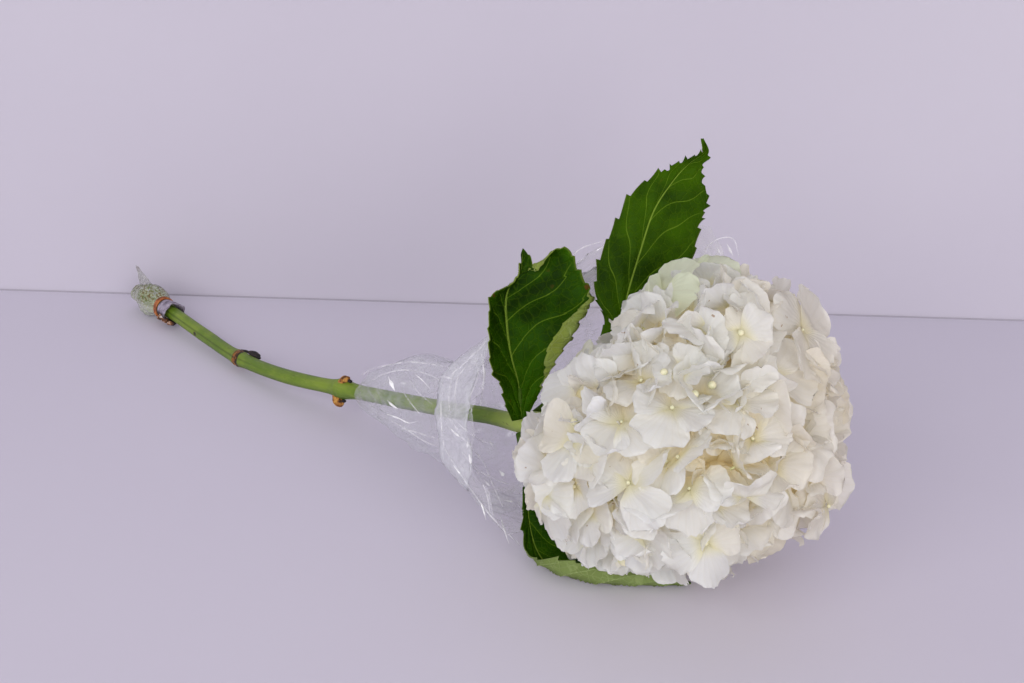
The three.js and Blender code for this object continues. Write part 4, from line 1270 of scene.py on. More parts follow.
# %% Petal skin
def petal_finish():
    petal = Finish("petal_cream")
    u, v = petal.uv()
    own, deep = petal.mark("own"), petal.mark("deep")
    here = petal.here()
    cloud = petal.noise(here, 60, 3)
    grain = petal.noise(here, 900, 2)
    rays = (v / (0.3 + u) * 22 + own * 40).wave()
    white, mid, cream = colour(233, 236, 241), colour(231, 232, 231), colour(246, 230, 180)
    skin = petal.mix(cloud.ramp(0.3, 0.75) * 0.5, white, mid)
    skin = petal.mix(own.ramp(0.55, 1.0) * 0.35, skin, colour(240, 230, 202))
    skin = petal.mix(u.ramp(0.42, 0.0) * 0.75, skin, colour(240, 236, 190))
    # painted warm shade: the side of the head to the eye's right is painted creamier
    on_right = petal.node("VectorMath", {"operation": "DOT_PRODUCT"}, {0: here, 1: tuple(RIGHT)}, out=1)
    skin = petal.mix(on_right.ramp(0.0, 0.075) * 0.3, skin, colour(243, 231, 212))
    # painted warm shade: petals deep inside the head are painted cream, the deepest tan, for the shade in the
    # gaps
    skin = petal.mix(deep.ramp(0.16, 0.85) * 0.9, skin, cream)
    skin = petal.mix(deep.ramp(0.6, 1.1) * 0.9, skin, colour(206, 172, 96))
    skin = petal.mix(petal.mark("green") * 0.8, skin, colour(226, 238, 206))
    skin = petal.mix(rays.ramp(0.55, 1.0) * 0.08, skin, colour(214, 206, 180))
    speck = petal.noise(here, 210, 2).ramp(0.745, 0.77)
    skin = petal.mix(speck * 0.8, skin, colour(142, 96, 48))
    bump = petal.bump(rays * 0.25 + grain * 0.5 + cloud, 0.00022, 0.7)
    sockets = {"Base Color": skin, "Roughness": 0.5, "Normal": bump, "Specular IOR Level": 0.32}
    return petal.let_through(0.5, sockets, colour(255, 246, 220))


PETAL_FINISH = petal_finish()


# %% Make the petals in a few pieces
# how green the youngest of the chosen florets still are
GREENISH = {2: 0.9, 3: 0.8, 5: 0.25}


def petal_piece(name, fine, greens):
    grids, u, v = fine
    number, rows, columns, _ = grids.shape
    own = np.random.default_rng(8).random(number)
    away = grids - BLOOM_CENTRE
    distance = np.linalg.norm(away, axis=-1)
    # deep: how far a point lies inside the head's outline; the petal finish paints the shade in the gaps by
    # it
    deep = np.clip((petal_radius(away / distance[..., None]) - distance) / 26, 0, 1.5)
    one = grid_quads(rows, columns)
    faces = (one[None] + np.arange(number)[:, None, None] * rows * columns).reshape(-1, 4)

    def spread(values):
        return np.broadcast_to(values[:, None, None], u.shape).ravel()

    marks = {"own": spread(own), "deep": deep.ravel(), "green": spread(greens)}
    points, uv = grids.reshape(-1, 3), np.stack([u, v], -1).reshape(-1, 2)
    new_piece(name, points, [faces], uv, marks, "petal", ["bloom"], [PETAL_FINISH])


def share_out(name, fine, count):
    """The petals of several florets in each of a few pieces."""
    number = len(fine[0])
    floret = np.arange(number) // 4
    greens = np.array([GREENISH.get(k, 0.0) if name == "petals" else 0.0 for k in floret])
    bounds = np.linspace(0, number, count + 1).astype(int)
    for k, (low, high) in enumerate(zip(bounds[:-1], bounds[1:])):
        petal_piece(f"{name}_{k + 1}", [part[low:high] for part in fine], greens[low:high])


share_out("petals", outer_fine, 5)
share_out("inner_petals", inner_fine, 1)


# %% [markdown]
# ## Beads, stalks and the branches inside
# In the middle of each floret sits a true flower, here still a closed bead. Below it a thin stalk runs into
# the head, where a few thicker branches gather all of them into the stem. They show only in the gaps, but
# without them a gap would look through to the other side.

# %% Beads and stalks
ASKEW = (0.31, 0.52, 0.8)


def bent_lines(first, second, third, steps):
    t = np.linspace(0, 1, steps)[None, :, None]
    return (1 - t) ** 2 * first[:, None] + 2 * t * (1 - t) * second[:, None] + t**2 * third[:, None]


facing = turns[:, 2]
own = np.random.default_rng(21)
bead_radii = own.uniform(0.8, 1.15, len(middles))
bead_radii[:SHOWN] = 1.6
beads = eggs(middles + facing * 1.2, facing, bead_radii, bead_radii, 7, 10, ASKEW, 0.015)
roots = BLOOM_CENTRE + 0.5 * (middles - BLOOM_CENTRE) + own.normal(0, 2.5, middles.shape)
stalk_lines = bent_lines(middles - 0.6 * facing, middles - 9 * facing, roots, 9)
stalk_radii = np.broadcast_to(np.linspace(0.62, 0.95, 9), (len(middles), 9))
stalks = tubes(stalk_lines, stalk_radii, 6, up=ASKEW)

BRANCH_START = np.array([-50.0, -6.0, 71.0])
BRANCHES = 26
branch_aims = BLOOM_CENTRE + spread_directions(BRANCHES) * np.array([36, 38, 36])
starts = np.repeat(BRANCH_START[None], BRANCHES, 0) + own.normal(0, 1.5, (BRANCHES, 3))
bends = (starts + branch_aims) / 2 + own.normal(0, 5, (BRANCHES, 3))
branch_radii = np.broadcast_to(np.linspace(2.4, 1.1, 18), (BRANCHES, 18))
branches = tubes(bent_lines(starts, bends, branch_aims, 18), branch_radii, 12, up=ASKEW)


# %% Finishes of the beads and stalks
def waxy_finish(name, first, second, scale):
    wax = Finish(name)
    cloud = wax.noise(wax.here(), scale, 3)
    skin = wax.mix(cloud.ramp(0.35, 0.65), first, second)
    sockets = {"Base Color": skin, "Roughness": 0.45, "Normal": wax.bump(cloud, 0.0002)}
    return wax.surface(wax.principled(sockets))


BEAD_WAX = waxy_finish("bead_cream", colour(226, 220, 188), colour(206, 206, 170), 300)
STALK_WAX = waxy_finish("floret_stalk", colour(214, 212, 160), colour(186, 196, 128), 120)
new_piece("beads", *beads, None, None, "petal", ["bloom"], [BEAD_WAX])
new_piece("floret_stalks", *join([stalks, branches]), None, None, "petal", ["bloom"], [STALK_WAX])


# %% Buds that never opened
# picture place, radius in mm, sink in mm
BUDS = [(626, 556, 5.2, 5), (574, 422, 1.9, 2), (712, 385, 2.1, 6), (695, 394, 1.9, 6), (664, 372, 1.8, 5)]
bud_places = np.array([on_bloom(x, y, sink) for x, y, _, sink in BUDS])
bud_radii = np.array([radius for _, _, radius, _ in BUDS], float)
bud_facing = unit(bud_places - BLOOM_CENTRE + own.normal(0, 12, bud_places.shape))
buds = eggs(bud_places, bud_facing, bud_radii, bud_radii, 16, 24, ASKEW, 0.015)
bud_roots = BLOOM_CENTRE + 0.55 * (bud_places - BLOOM_CENTRE)
bud_stalk_lines = bent_lines(bud_places, bud_places - 8 * bud_facing, bud_roots, 12)
bud_stalks = tubes(bud_stalk_lines, np.full((len(BUDS), 12), 0.6), 8, up=ASKEW)
new_piece("closed_buds", *join([buds, bud_stalks]), None, None, "petal", ["bloom"], [BEAD_WAX])


# %% [markdown]
# ## The film sleeve
# A clear sheet, gathered round the stem and cut slantwise at its mouth, is easy to see only where it is
# creased. So most of its look is its shape: sharp folds that run from the neck, flat facets between them,
# and its seam, where the sheet laps over itself. The same table of mouth and width as in the CAD solid
# gives the big form.

# %% The sleeve's form
SLEEVE_NECK_X = -250
SLEEVE_MOUTH = [
    (-90, -82), (-45, -102), (0, -104), (25, -80), (50, -52),
    (90, -38), (135, -50), (180, -72), (225, -76), (270, -82),
]
SLEEVE_RADIUS = [
    (-250, 5.75), (-236, 12), (-212, 18), (-185, 25), (-165, 29),
    (-150, 32), (-120, 45), (-95, 62), (-70, 80), (-38, 96),
]
SLEEVE_SPREAD = [
    (-90, 0.8), (-45, 0.72), (0, 0.94), (25, 1.24), (50, 1.28),
    (90, 1.1), (135, 1), (180, 1), (225, 1.02), (270, 0.8),
]


def lookup(table, places):
    """Reads a table of (place, value) rows between its rows."""
    return np.interp(places, *zip(*table))


def facets(x, y, size, seed, layers=3):
    """A sheet's crumple: heights with flat facets and sharp folds, from folded waves in a few directions."""
    own = np.random.default_rng(seed)
    x, y = np.broadcast_arrays(x, y)
    height = np.zeros(x.shape)
    for _ in range(layers):
        angle, shift = own.uniform(0, np.pi), own.uniform(0, 10)
        bent = x * np.cos(angle) + y * np.sin(angle) + 0.6 * size * np.sin(y / size * 0.9 + shift)
        spot = bent / size * own.uniform(0.8, 1.5) + shift
        height += (np.abs(np.mod(spot, 2) - 1) - 0.5) * own.uniform(0.5, 1)
    return height / layers


# near its mouth the film is folded back on itself: the share from the neck to the fold's middle, how
# quickly it turns, and its width in mm
FOLD_SHARE, FOLD_STEP, FOLD_WIDTH = 0.82, 0.07, 52
# long creases: turn in degrees and place along X at both ends, height in mm, half width in mm
LONG_CREASES = [
    (262, -168, 232, -84, 3.2, 7),
    (300, -230, 330, -140, 2.4, 6),
    (345, -240, 305, -165, 2.0, 5),
    (250, -236, 262, -172, 2.2, 5),
    (40, -200, 70, -80, 2.6, 8),
    (150, -180, 190, -90, 2.6, 8),
]


def long_creases(turn, x):
    """Straight folds that run across the sheet: tents of film with a sharp ridge."""
    height = np.zeros(turn.shape)
    for turn_0, x_0, turn_1, x_1, tall, half in LONG_CREASES:
        share = np.clip((x - x_0) / (x_1 - x_0), 0, 1)
        off = (np.mod(turn, 360) - (turn_0 + (turn_1 - turn_0) * share)) * 0.5
        past = np.maximum(np.maximum(x_0 - x, x - x_1), 0)
        height += tall * np.maximum(0, 1 - np.hypot(off, past) / half)
    return height


def sleeve_points(turn, share, out=0.0):
    """Places on the sleeve: turn in degrees round the stem, share from the neck to the mouth."""
    place = np.where(np.mod(turn, 360) > 270, np.mod(turn, 360) - 360, np.mod(turn, 360))
    ragged = 2.5 * facets(place * 1.3, place * 0, 9, 4) + 1.5 * np.sin(place * 0.21)
    mouth = lookup(SLEEVE_MOUTH, place) + ragged
    turned = place - 360 * (place > 210)
    near_side = smoothstep(-150, -110, turned) * smoothstep(75, 30, turned)
    step = (share - FOLD_SHARE) / FOLD_STEP
    back = np.interp(step, [-1.5, -0.5, 0.5, 1.5], [0, 0.5, -0.5, 0])
    x = SLEEVE_NECK_X + (mouth - SLEEVE_NECK_X) * share + FOLD_WIDTH * near_side * back
    layer = near_side * (smoothstep(-0.9, -0.1, step) + smoothstep(0.1, 0.9, step)) * smoothstep(6, 2, step)
    drift = np.maximum(0, (x + 150) / 110)
    middle = stem_at(np.minimum(x, -60))
    waist = 1 - 0.12 * np.exp(-(((place - 62) / 26) ** 2))
    spread = 1 + (lookup(SLEEVE_SPREAD, place) * waist - 1) * np.minimum(1, 2 * drift)
    angle = np.radians(turn)
    waves = 0.05 * np.sin(5 * angle + 3 * share) + 0.03 * np.sin(11 * angle - 9 * share)
    hump = 0.42 * np.maximum(np.cos(angle), 0) ** 0.7 * smoothstep(-248, -234, x) * smoothstep(-168, -205, x)
    radius = lookup(SLEEVE_RADIUS, x) * spread * (1 + share * waves + hump)
    arc = angle * np.maximum(radius, 12)
    crumple = 4.6 * facets(arc, x, 17, 6) + 2.6 * facets(arc, x, 7.5, 7) + 1.0 * facets(arc, x, 3.4, 9)
    crumple = crumple + long_creases(turn, x)
    pleats = 1.1 * (np.abs(np.mod(turn / 17 + 0.6 * np.sin(x / 30), 2) - 1) - 0.5)
    room = smoothstep(0.0, 0.25, share)
    radius = radius + room * crumple + (1 - room) * pleats * smoothstep(5, 12, radius) + out + 1.4 * layer
    y = middle[..., 1] + 8 * drift + radius * np.sin(angle)
    z = middle[..., 2] + 20 * drift + radius * np.cos(angle)
    edge_of_fold = near_side * (np.exp(-(((step + 0.5) / 0.12) ** 2)) + np.exp(-(((step - 0.5) / 0.12) ** 2)))
    return np.stack([x, y, np.maximum(z, 0.35)], -1), crumple, edge_of_fold


# %% Clear film
CLEAR = (0.988, 0.988, 0.99, 1)
FILM_HAZE = 0.1


def film_finish():
    film = Finish("clear_film")
    facing = film.node("LayerWeight", None, {"Blend": 0.5}, out="Facing")
    crease = film.mark("crease")
    here = film.here()
    cloud = film.noise(here, 38, 4)
    wrinkle = film.noise(here, 170, 3)
    drops = film.node("TexVoronoi", None, {"Vector": here, "Scale": 520.0})
    dots = drops.ramp(0.22, 0.1) * film.noise(here, 24, 2).ramp(0.46, 0.6)
    # painted glints: thin stretched streaks where the film is painted a little whiter and less clear
    streak = film.noise(film.stretched(here, (70, 520, 210)), 1.0, 3).ramp(0.56, 0.7)
    belt, neck = film.mark("belt"), film.mark("neck")
    milk = cloud.ramp(0.52, 0.8) * 0.5 + dots + belt * 0.8 + neck * 0.5
    sockets = {
        "Base Color": film.mix((belt + neck).at_most(1), colour(248, 248, 252), colour(224, 225, 231)),
        "Roughness": 0.1 + 0.3 * milk.at_most(1),
        "Normal": film.bump(wrinkle + 0.5 * dots, 0.0006, 0.8),
        "Metallic": 0.5 - 0.5 * (milk + 0.6 * crease).at_most(1),
    }
    share = FILM_HAZE + 0.42 * facing**4 + 0.26 * crease + 0.05 * cloud.ramp(0.4, 0.75)
    share = share + 0.14 * dots + 0.07 * streak
    ragged = wrinkle.ramp(0.4, 0.6)
    share = share + belt * (0.12 + 0.16 * ragged) + neck * (0.05 + 0.12 * ragged)
    return film.over_clear(share.at_most(0.8), sockets, CLEAR)


FILM_FINISH = film_finish()


# %% Make the sleeve
FILM_THICKNESS = 0.12


def sharp_places(height):
    """1 along the folds of a crumpled sheet, 0 on its facets."""
    curved = sum(np.abs(2 * height - np.roll(height, 1, k) - np.roll(height, -1, k)) for k in (0, 1))
    return np.clip(curved / np.percentile(curved, 99), 0, 1)


def behind_leaf(points, leaf):
    """Moves the points that would lie in front of a leaf or within it away from the eye."""
    points, leaf = points.reshape(-1, 3).copy(), leaf.reshape(-1, 3)[::5]
    leaf_x, leaf_y = in_picture(leaf)
    leaf_depth = (leaf - EYE) @ AHEAD
    x, y = in_picture(points)
    close = np.flatnonzero((abs(x - leaf_x.mean()) < 75) & (abs(y - leaf_y.mean()) < 115))
    apart = np.hypot(x[close, None] - leaf_x, y[close, None] - leaf_y)
    nearest = apart.argmin(1)
    depth = (points[close] - EYE) @ AHEAD
    lacking = np.maximum(leaf_depth[nearest] + 5 - depth, 0) * smoothstep(16, 5, apart.min(1))
    lacking = lacking * (lacking < 45)
    points[close] += (points[close] - EYE) * (lacking / depth)[:, None]
    return points


def make_sleeve():
    rows, columns = ((420, 170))
    turn, share = np.meshgrid(np.linspace(100, 476, rows), np.linspace(0, 1, columns), indexing="ij")
    lap = 1.2 * smoothstep(440, 470, turn)
    sheet, crumple, edge_of_fold = sleeve_points(turn, share, lap)
    shape = sheet.shape
    sheet = behind_leaf(behind_leaf(sheet, leaf_grids[1]), leaf_grids[0]).reshape(shape)
    crease = sharp_places(crumple) * smoothstep(0.02, 0.2, share)
    crease = np.maximum(np.maximum(crease, 0.8 * smoothstep(0.985, 1.0, share)), edge_of_fold)
    faces = grid_quads(rows, columns)
    step = (share - FOLD_SHARE) / FOLD_STEP
    belt = smoothstep(-1.0, -0.5, step) * smoothstep(1.0, 0.5, step)
    marks = {"crease": crease, "belt": belt, "neck": smoothstep(0.74, 0.5, share)}
    points = sheet.reshape(-1, 3)
    piece = new_piece("film_sleeve", points, [faces], None, marks, "film", ["sleeve"], [FILM_FINISH])
    one, two = sheet[1:, 1:] - sheet[:-1, :-1], sheet[1:, :-1] - sheet[:-1, 1:]
    area = np.linalg.norm(np.cross(one, two), axis=-1).sum() / 2
    print("sleeve's area in square mm:", round(float(area)))
    return piece, sheet


sleeve, sleeve_sheet = make_sleeve()


# %% [markdown]
# ## Fold lines and painted glints
# Clear film shows itself by its sharp folds. Each is a narrow ridge where the sheet is doubled over. Its thin
# white line is partly that doubled film and partly a painted highlight, and the short glints, where a facet
# would catch the
# light, are painted: whiter, nearly opaque shards. They are laid on the sleeve's near skin as slim ridges,
# where the photograph shows them.

# %% Where the folds show
# width in pixels, then the places of the picture that the fold passes
FOLD_LINES = [
    (1.3, [(362, 375), (372, 369), (384, 366), (400, 363), (413, 362), (436, 365), (452, 368)]),
    (1.0, [(372, 380), (384, 374), (402, 370), (420, 372), (436, 378), (444, 386)]),
    (1.7, [(458, 369), (453, 374), (450, 388), (449, 402), (450, 414)]),
    (1.2, [(466, 366), (458, 378), (455, 396), (458, 414)]),
    (1.5, [(443, 392), (441, 408), (442, 430), (444, 447)]),
    (1.4, [(481, 352), (484, 372), (482, 396), (479, 414)]),
    (1.0, [(474, 356), (478, 376), (470, 398), (472, 412)]),
    (1.1, [(457, 371), (466, 362), (474, 354), (482, 347), (488, 338)]),
    (1.1, [(402, 390), (410, 402), (419, 413)]),
    (1.0, [(410, 381), (420, 394), (432, 404)]),
    (1.1, [(397, 428), (412, 431), (428, 436), (443, 440)]),
    (1.0, [(386, 418), (404, 428), (424, 441), (440, 447)]),
    (1.4, [(445, 414), (455, 426), (463, 438), (474, 451), (484, 463), (490, 478), (497, 494), (503, 507)]),
    (1.0, [(452, 418), (466, 430), (480, 440), (494, 444)]),
    (1.4, [(482, 411), (495, 421), (513, 432), (534, 444)]),
    (1.0, [(444, 447), (455, 466), (470, 488), (486, 510), (502, 528), (520, 545)]),
    (1.0, [(478, 470), (492, 478), (508, 484)]),
    (1.0, [(462, 452), (476, 470), (486, 492), (490, 512)]),
    (1.2, [(572, 268), (574, 255), (584, 247), (604, 241)]),
    (1.2, [(702, 262), (708, 246), (722, 238), (734, 240), (739, 258)]),
    (1.0, [(712, 262), (722, 244)]),
]
# painted glints: short white shards at these places, each given as its width in pixels and the places it
# passes
PAINTED_GLINTS = [
    (4.6, [(388, 376), (391, 383), (395, 391)]),
    (3.6, [(387, 400), (392, 405), (398, 409)]),
    (2.6, [(386, 414), (398, 418), (409, 423), (418, 421)]),
    (2.2, [(415, 374), (423, 381), (431, 390)]),
    (3.0, [(440, 377), (446, 377), (452, 379)]),
    (4.4, [(450, 428), (455, 433), (460, 437)]),
    (3.6, [(468, 441), (467, 448)]),
    (4.6, [(469, 454), (471, 464)]),
    (2.6, [(490, 441), (493, 447)]),
    (4.6, [(499, 470), (504, 476)]),
    (2.6, [(453, 465), (461, 475)]),
    (3.0, [(481, 503), (484, 512), (486, 520)]),
    (3.2, [(500, 515), (504, 529), (509, 544)]),
    (2.4, [(504, 500), (513, 502)]),
    (2.6, [(484, 480), (490, 486)]),
    (3.4, [(716, 246), (721, 255)]),
    (4.2, [(727, 244), (733, 256)]),
]


def near_film(x, y):
    """How far from the eye the sleeve's near skin lies at places of the picture."""
    points = sleeve_sheet.reshape(-1, 3)
    sheet_x, sheet_y = in_picture(points)
    depth = (points - EYE) @ AHEAD
    found = np.full(len(x), np.nan)
    for k in range(len(x)):
        for window in (2.4, 5, 9):
            close = (abs(sheet_x - x[k]) < window) & (abs(sheet_y - y[k]) < window)
            if close.any():
                found[k] = depth[close].min()
                break
    return found


def ridge(width, places, seed=None):
    """A slim ridge of film, three points across. With a seed it is a ragged shard instead, for a painted
    glint.
    """
    places = np.array(places, float)
    length = np.linalg.norm(np.diff(places, axis=0), axis=1).sum()
    line = smooth_rows(places, np.linspace(0, 1, max(6, int(length / 2))))
    share = np.linspace(0, 1, len(line))
    heading = unit(np.gradient(line, axis=0))
    beside = np.stack([-heading[:, 1], heading[:, 0]], 1)
    half = 0.6 * width * np.sin(np.pi * np.clip(share, 0.03, 0.97)) ** 0.3
    if seed is not None:
        own = np.random.default_rng(seed)
        half = 0.5 * width * np.interp(share, [0, own.uniform(0.15, 0.85), 1], [0.12, 1, 0.08])
        half = half * own.uniform(0.45, 1.0, len(share))
    depth = near_film(*line.T)
    if np.isnan(depth).mean() > 0.5:
        return None
    depth = np.interp(share, share[~np.isnan(depth)], depth[~np.isnan(depth)])
    padded = np.pad(depth, 2, "edge")
    depth = sum(padded[k : k + len(depth)] for k in range(5)) / 5
    rows = []
    for across, raised in ((-1, 0.3), (0, 0.75), (1, 0.3)):
        spots = line + (across * half)[:, None] * beside
        rows.append([EYE + (away - raised) * sight(*spot) for spot, away in zip(spots, depth)])
    return np.stack(rows, 1)


def make_ridges():
    found = [ridge(width, places) for width, places in FOLD_LINES]
    painted_glints = [ridge(width, places, seed) for seed, (width, places) in enumerate(PAINTED_GLINTS)]
    print("folds without film under them:", [k for k, one in enumerate(found + painted_glints) if one is None])
    parts, bright = [], []
    # the shards get the painted glint mark, the fold lines none
    for shine, group in ((0.0, found), (1.0, painted_glints)):
        for one in group:
            if one is not None:
                parts.append((one.reshape(-1, 3), [grid_quads(*one.shape[:2])]))
                bright.append(np.full(one[..., 0].size, shine))
    points, faces = join(parts)
    points[:, 2] = np.maximum(points[:, 2], 0.3)
    marks = {"bright": np.concatenate(bright)}
    return new_piece("film_folds_and_painted_glints", points, faces, None, marks, "film", ["sleeve"], [FOLD_AND_GLINT_FINISH])


# %% Doubled film and painted glints
def fold_and_glint_finish():
    film = Finish("film_fold")
    bright = film.mark("bright")
    patchy = film.noise(film.here(), 150, 2).ramp(0.3, 0.65)
    sockets = {"Base Color": colour(252, 252, 254), "Roughness": 0.3, "Normal": film.bump(patchy, 0.0003)}
    # painted highlight: the folds are painted partly white, and the glints nearly opaque white, as painted
    # glints
    share = (0.12 + 0.3 * patchy) * (1 - bright) + (0.4 + 0.5 * patchy) * bright
    return film.over_clear(share, sockets, CLEAR)


FOLD_AND_GLINT_FINISH = fold_and_glint_finish()
folds = make_ridges()


# %% [markdown]
# ## The water bag, its cuff and its band
# The cut end stands in a few spoonfuls of water in a little film bag. The bag's neck is drawn tight round
# the stem, with a soft grey cuff over it and a rubber band that holds both. The bag is a skin of rings
# along the stem's line, wrinkled by folds that gather towards the neck, with its twisted corner left up.

# %% The bag
BAG_END_X = -535
BAG_NECK_X = -497
BAG_COLLAR_X = -486
BAG_RADIUS = 11.8
BAG_NECK_RADIUS = STEM_RADIUS + 1.15


def bag_rings(steps, sides):
    """The bag's middle line, how far its skin lies from it, and how crumpled the skin is."""
    share = np.linspace(0, 1, steps)[:, None]
    angle = 2 * np.pi * np.arange(sides)[None] / sides
    x = BAG_NECK_X + (BAG_END_X - BAG_NECK_X) * share[:, 0]
    line = stem_at(np.maximum(x, STEM_LINE[0][0]))
    line[:, 0] = x
    belly = np.sin(2.7 * np.minimum(1, 1.35 * share) ** 0.8)
    line[:, 2] += 1.6 * belly[:, 0]
    wrinkle = 1 + 0.14 * np.sin(3 * angle + 7 * share)
    crumple = facets(angle * 13, share * 45, 6, 21)
    fold = 1 + 0.16 * crumple + 0.08 * facets(angle * 13, share * 45, 2.4, 22)
    reach = BAG_NECK_RADIUS + (BAG_RADIUS - BAG_NECK_RADIUS) * belly * wrinkle * fold - 2.5 * share**4
    pleats = 0.35 * np.sin(14 * angle + 3 * share) * (1 - smoothstep(0, 0.35, share))
    return line, reach + pleats, crumple


def make_bag():
    steps, sides = 70, 84
    line, reach, crumple = bag_rings(steps, sides)
    points, faces = tubes(line[None], np.ones((1, steps)), sides, shape=reach[None])
    points[:, 2] = np.maximum(points[:, 2], 0.2)
    collar_x = np.linspace(BAG_COLLAR_X, BAG_NECK_X, 16)
    collar = tubes(stem_at(collar_x)[None], np.full((1, 16), BAG_NECK_RADIUS), 40)
    tail_u, tail_v = np.meshgrid(np.linspace(0, 1, 30), np.linspace(0, 1, 16), indexing="ij")
    crest = (line + np.array([0, 0, 1]) * reach[:, :1])[5:62]
    foot = smooth_rows(crest, np.linspace(0, 1, 16))[None] - np.array([0, 0, 1.0])
    tip = crest[-1] + np.array([-1.5, 1.5, 13]) + np.array([-4.5, 0, 1.5]) * tail_v[..., None]
    tail = foot + (tip - foot) * (tail_u**0.85)[..., None]
    tail[..., 1] += 1.5 * facets(tail_v * 16, tail_u * 16, 4, 30)
    tail, tail_quads = slabs(tail[None], np.full((1, 30, 16), FILM_THICKNESS))
    points, faces = join([(points, faces), collar, (tail, [tail_quads])])
    crease = np.concatenate([
        sharp_places(crumple).ravel(), [0, 0], np.full(len(collar[0]), 0.5), np.full(len(tail), 0.25),
    ])
    body = np.ones(len(points))
    body[-len(tail):] = 0.15
    marks = {"crease": crease, "body": body}
    new_piece("bag_film", points, faces, None, marks, "bag_film", ["water_bag"], [BAG_FINISH])


# %% Milky film with green specks
def bag_finish():
    film = Finish("bag_film_clear")
    facing = film.node("LayerWeight", None, {"Blend": 0.4}, out="Facing")
    crease = film.mark("crease")
    here = film.here()
    patch = film.noise(here, 240, 4)
    fine_specks = film.noise(here, 620, 4, 0.65)
    upper = film.node("SeparateXYZ", None, {"Vector": here}, out=2).ramp(0.007, 0.016)
    green = fine_specks.ramp(0.44, 0.53) * film.noise(here, 130, 2).ramp(0.22, 0.44) * (0.12 + 0.88 * upper)
    skin = film.mix(patch.ramp(0.35, 0.65), colour(210, 211, 206), colour(188, 198, 164))
    specks = film.mix(patch.ramp(0.4, 0.62), colour(88, 104, 26), colour(96, 76, 38))
    skin = film.mix(green * 0.95, skin, specks)
    bump = film.bump(patch, 0.0009, 0.9)
    sockets = {"Base Color": skin, "Roughness": 0.16, "Normal": bump, "Specular IOR Level": 0.8}
    murky = film.mark("body") * (0.24 + 0.66 * green + 0.3 * patch.ramp(0.45, 0.7))
    share = 0.06 + 0.2 * facing**3 + 0.25 * crease + murky
    return film.over_clear(share.at_most(0.92), sockets, (0.98, 0.98, 0.985, 1))


BAG_FINISH = bag_finish()
make_bag()


# %% Matt pieces: cuff, band, dried stubs and the withered shoot
def matt_finish(name, stops, scale, rough=0.75, depth=0.0004, painted_shade_below=None):
    """A dull finish whose noise runs through the stops of a ramp. The last argument, if given, is a height in
    metres
    and a dark colour: below that height the finish is painted dark, as painted shade."""
    dull = Finish(name)
    place = dull.here()
    cloud = dull.noise(place, scale, 5, 0.6)
    fine = dull.noise(place, scale * 5, 2)
    skin = dull.node("ValToRGB", {"stops": stops}, {"Fac": cloud})
    if painted_shade_below:
        # painted shade: below the given height the finish turns to the dark colour, along a ragged line
        height = dull.node("SeparateXYZ", None, {"Vector": place}, out=2) + (cloud - 0.5) * 0.004
        skin = dull.mix(height.ramp(painted_shade_below[0] + 0.0025, painted_shade_below[0] - 0.0015), skin, painted_shade_below[1])
    bump = dull.bump(cloud + fine * 0.4, depth)
    sockets = {"Base Color": skin, "Roughness": rough + 0.2 * (fine - 0.5), "Normal": bump}
    return dull.surface(dull.principled(sockets))


# painted shade: the cuff's lower part, below 11.2 mm, is painted dark
CUFF_GREY = matt_finish("cuff_lilac", [
    (0.3, colour(96, 86, 100)), (0.5, colour(150, 140, 158)), (0.7, colour(184, 176, 192)),
], 260, 0.8, painted_shade_below=(0.0112, colour(52, 42, 48)))
BAND_BROWN = matt_finish("band_amber", [
    (0.3, colour(98, 44, 18)), (0.5, colour(158, 86, 38)), (0.7, colour(190, 122, 62)),
], 300, 0.5)
STUB_TAN = matt_finish("stub_tan", [
    (0.34, colour(52, 30, 14)), (0.46, colour(150, 94, 34)), (0.6, colour(196, 146, 70)),
], 330, 0.8, 0.0008)
WITHERED_BLACK = matt_finish("withered_black", [
    (0.35, colour(14, 12, 14)), (0.55, colour(34, 28, 32)), (0.75, colour(84, 60, 44)),
], 420, 0.85, 0.0009)


def lump(points, amount, seed, size):
    """Roughens the points of a small piece, outwards from its middle."""
    own = np.random.default_rng(seed)
    middle = points.mean(0)
    away = points - middle
    height = np.zeros(len(points))
    for _ in range(5):
        direction = unit(own.normal(size=3))
        height += np.sin(away @ direction / size * own.uniform(0.7, 2.2) + own.uniform(0, 6.28))
    return middle + away * (1 + amount * height / 2.2)[:, None]


def along_stem(x, out, turn):
    """A place beside the stem's line: out mm away, at a turn in degrees round it from up."""
    line = stem_at(np.array([x - 0.5, x, x + 0.5]))
    first, second, along = steady_axes(line)
    angle = np.radians(turn)
    return line[1] + out * (np.cos(angle) * first[1] - np.sin(angle) * second[1]), along[1]


# %% Make them
CUFF_FROM, CUFF_TO = -491, -478


def round_stem(angle, first, second):
    """Directions round the stem at angles from up."""
    return np.cos(angle)[..., None] * first - np.sin(angle)[..., None] * second


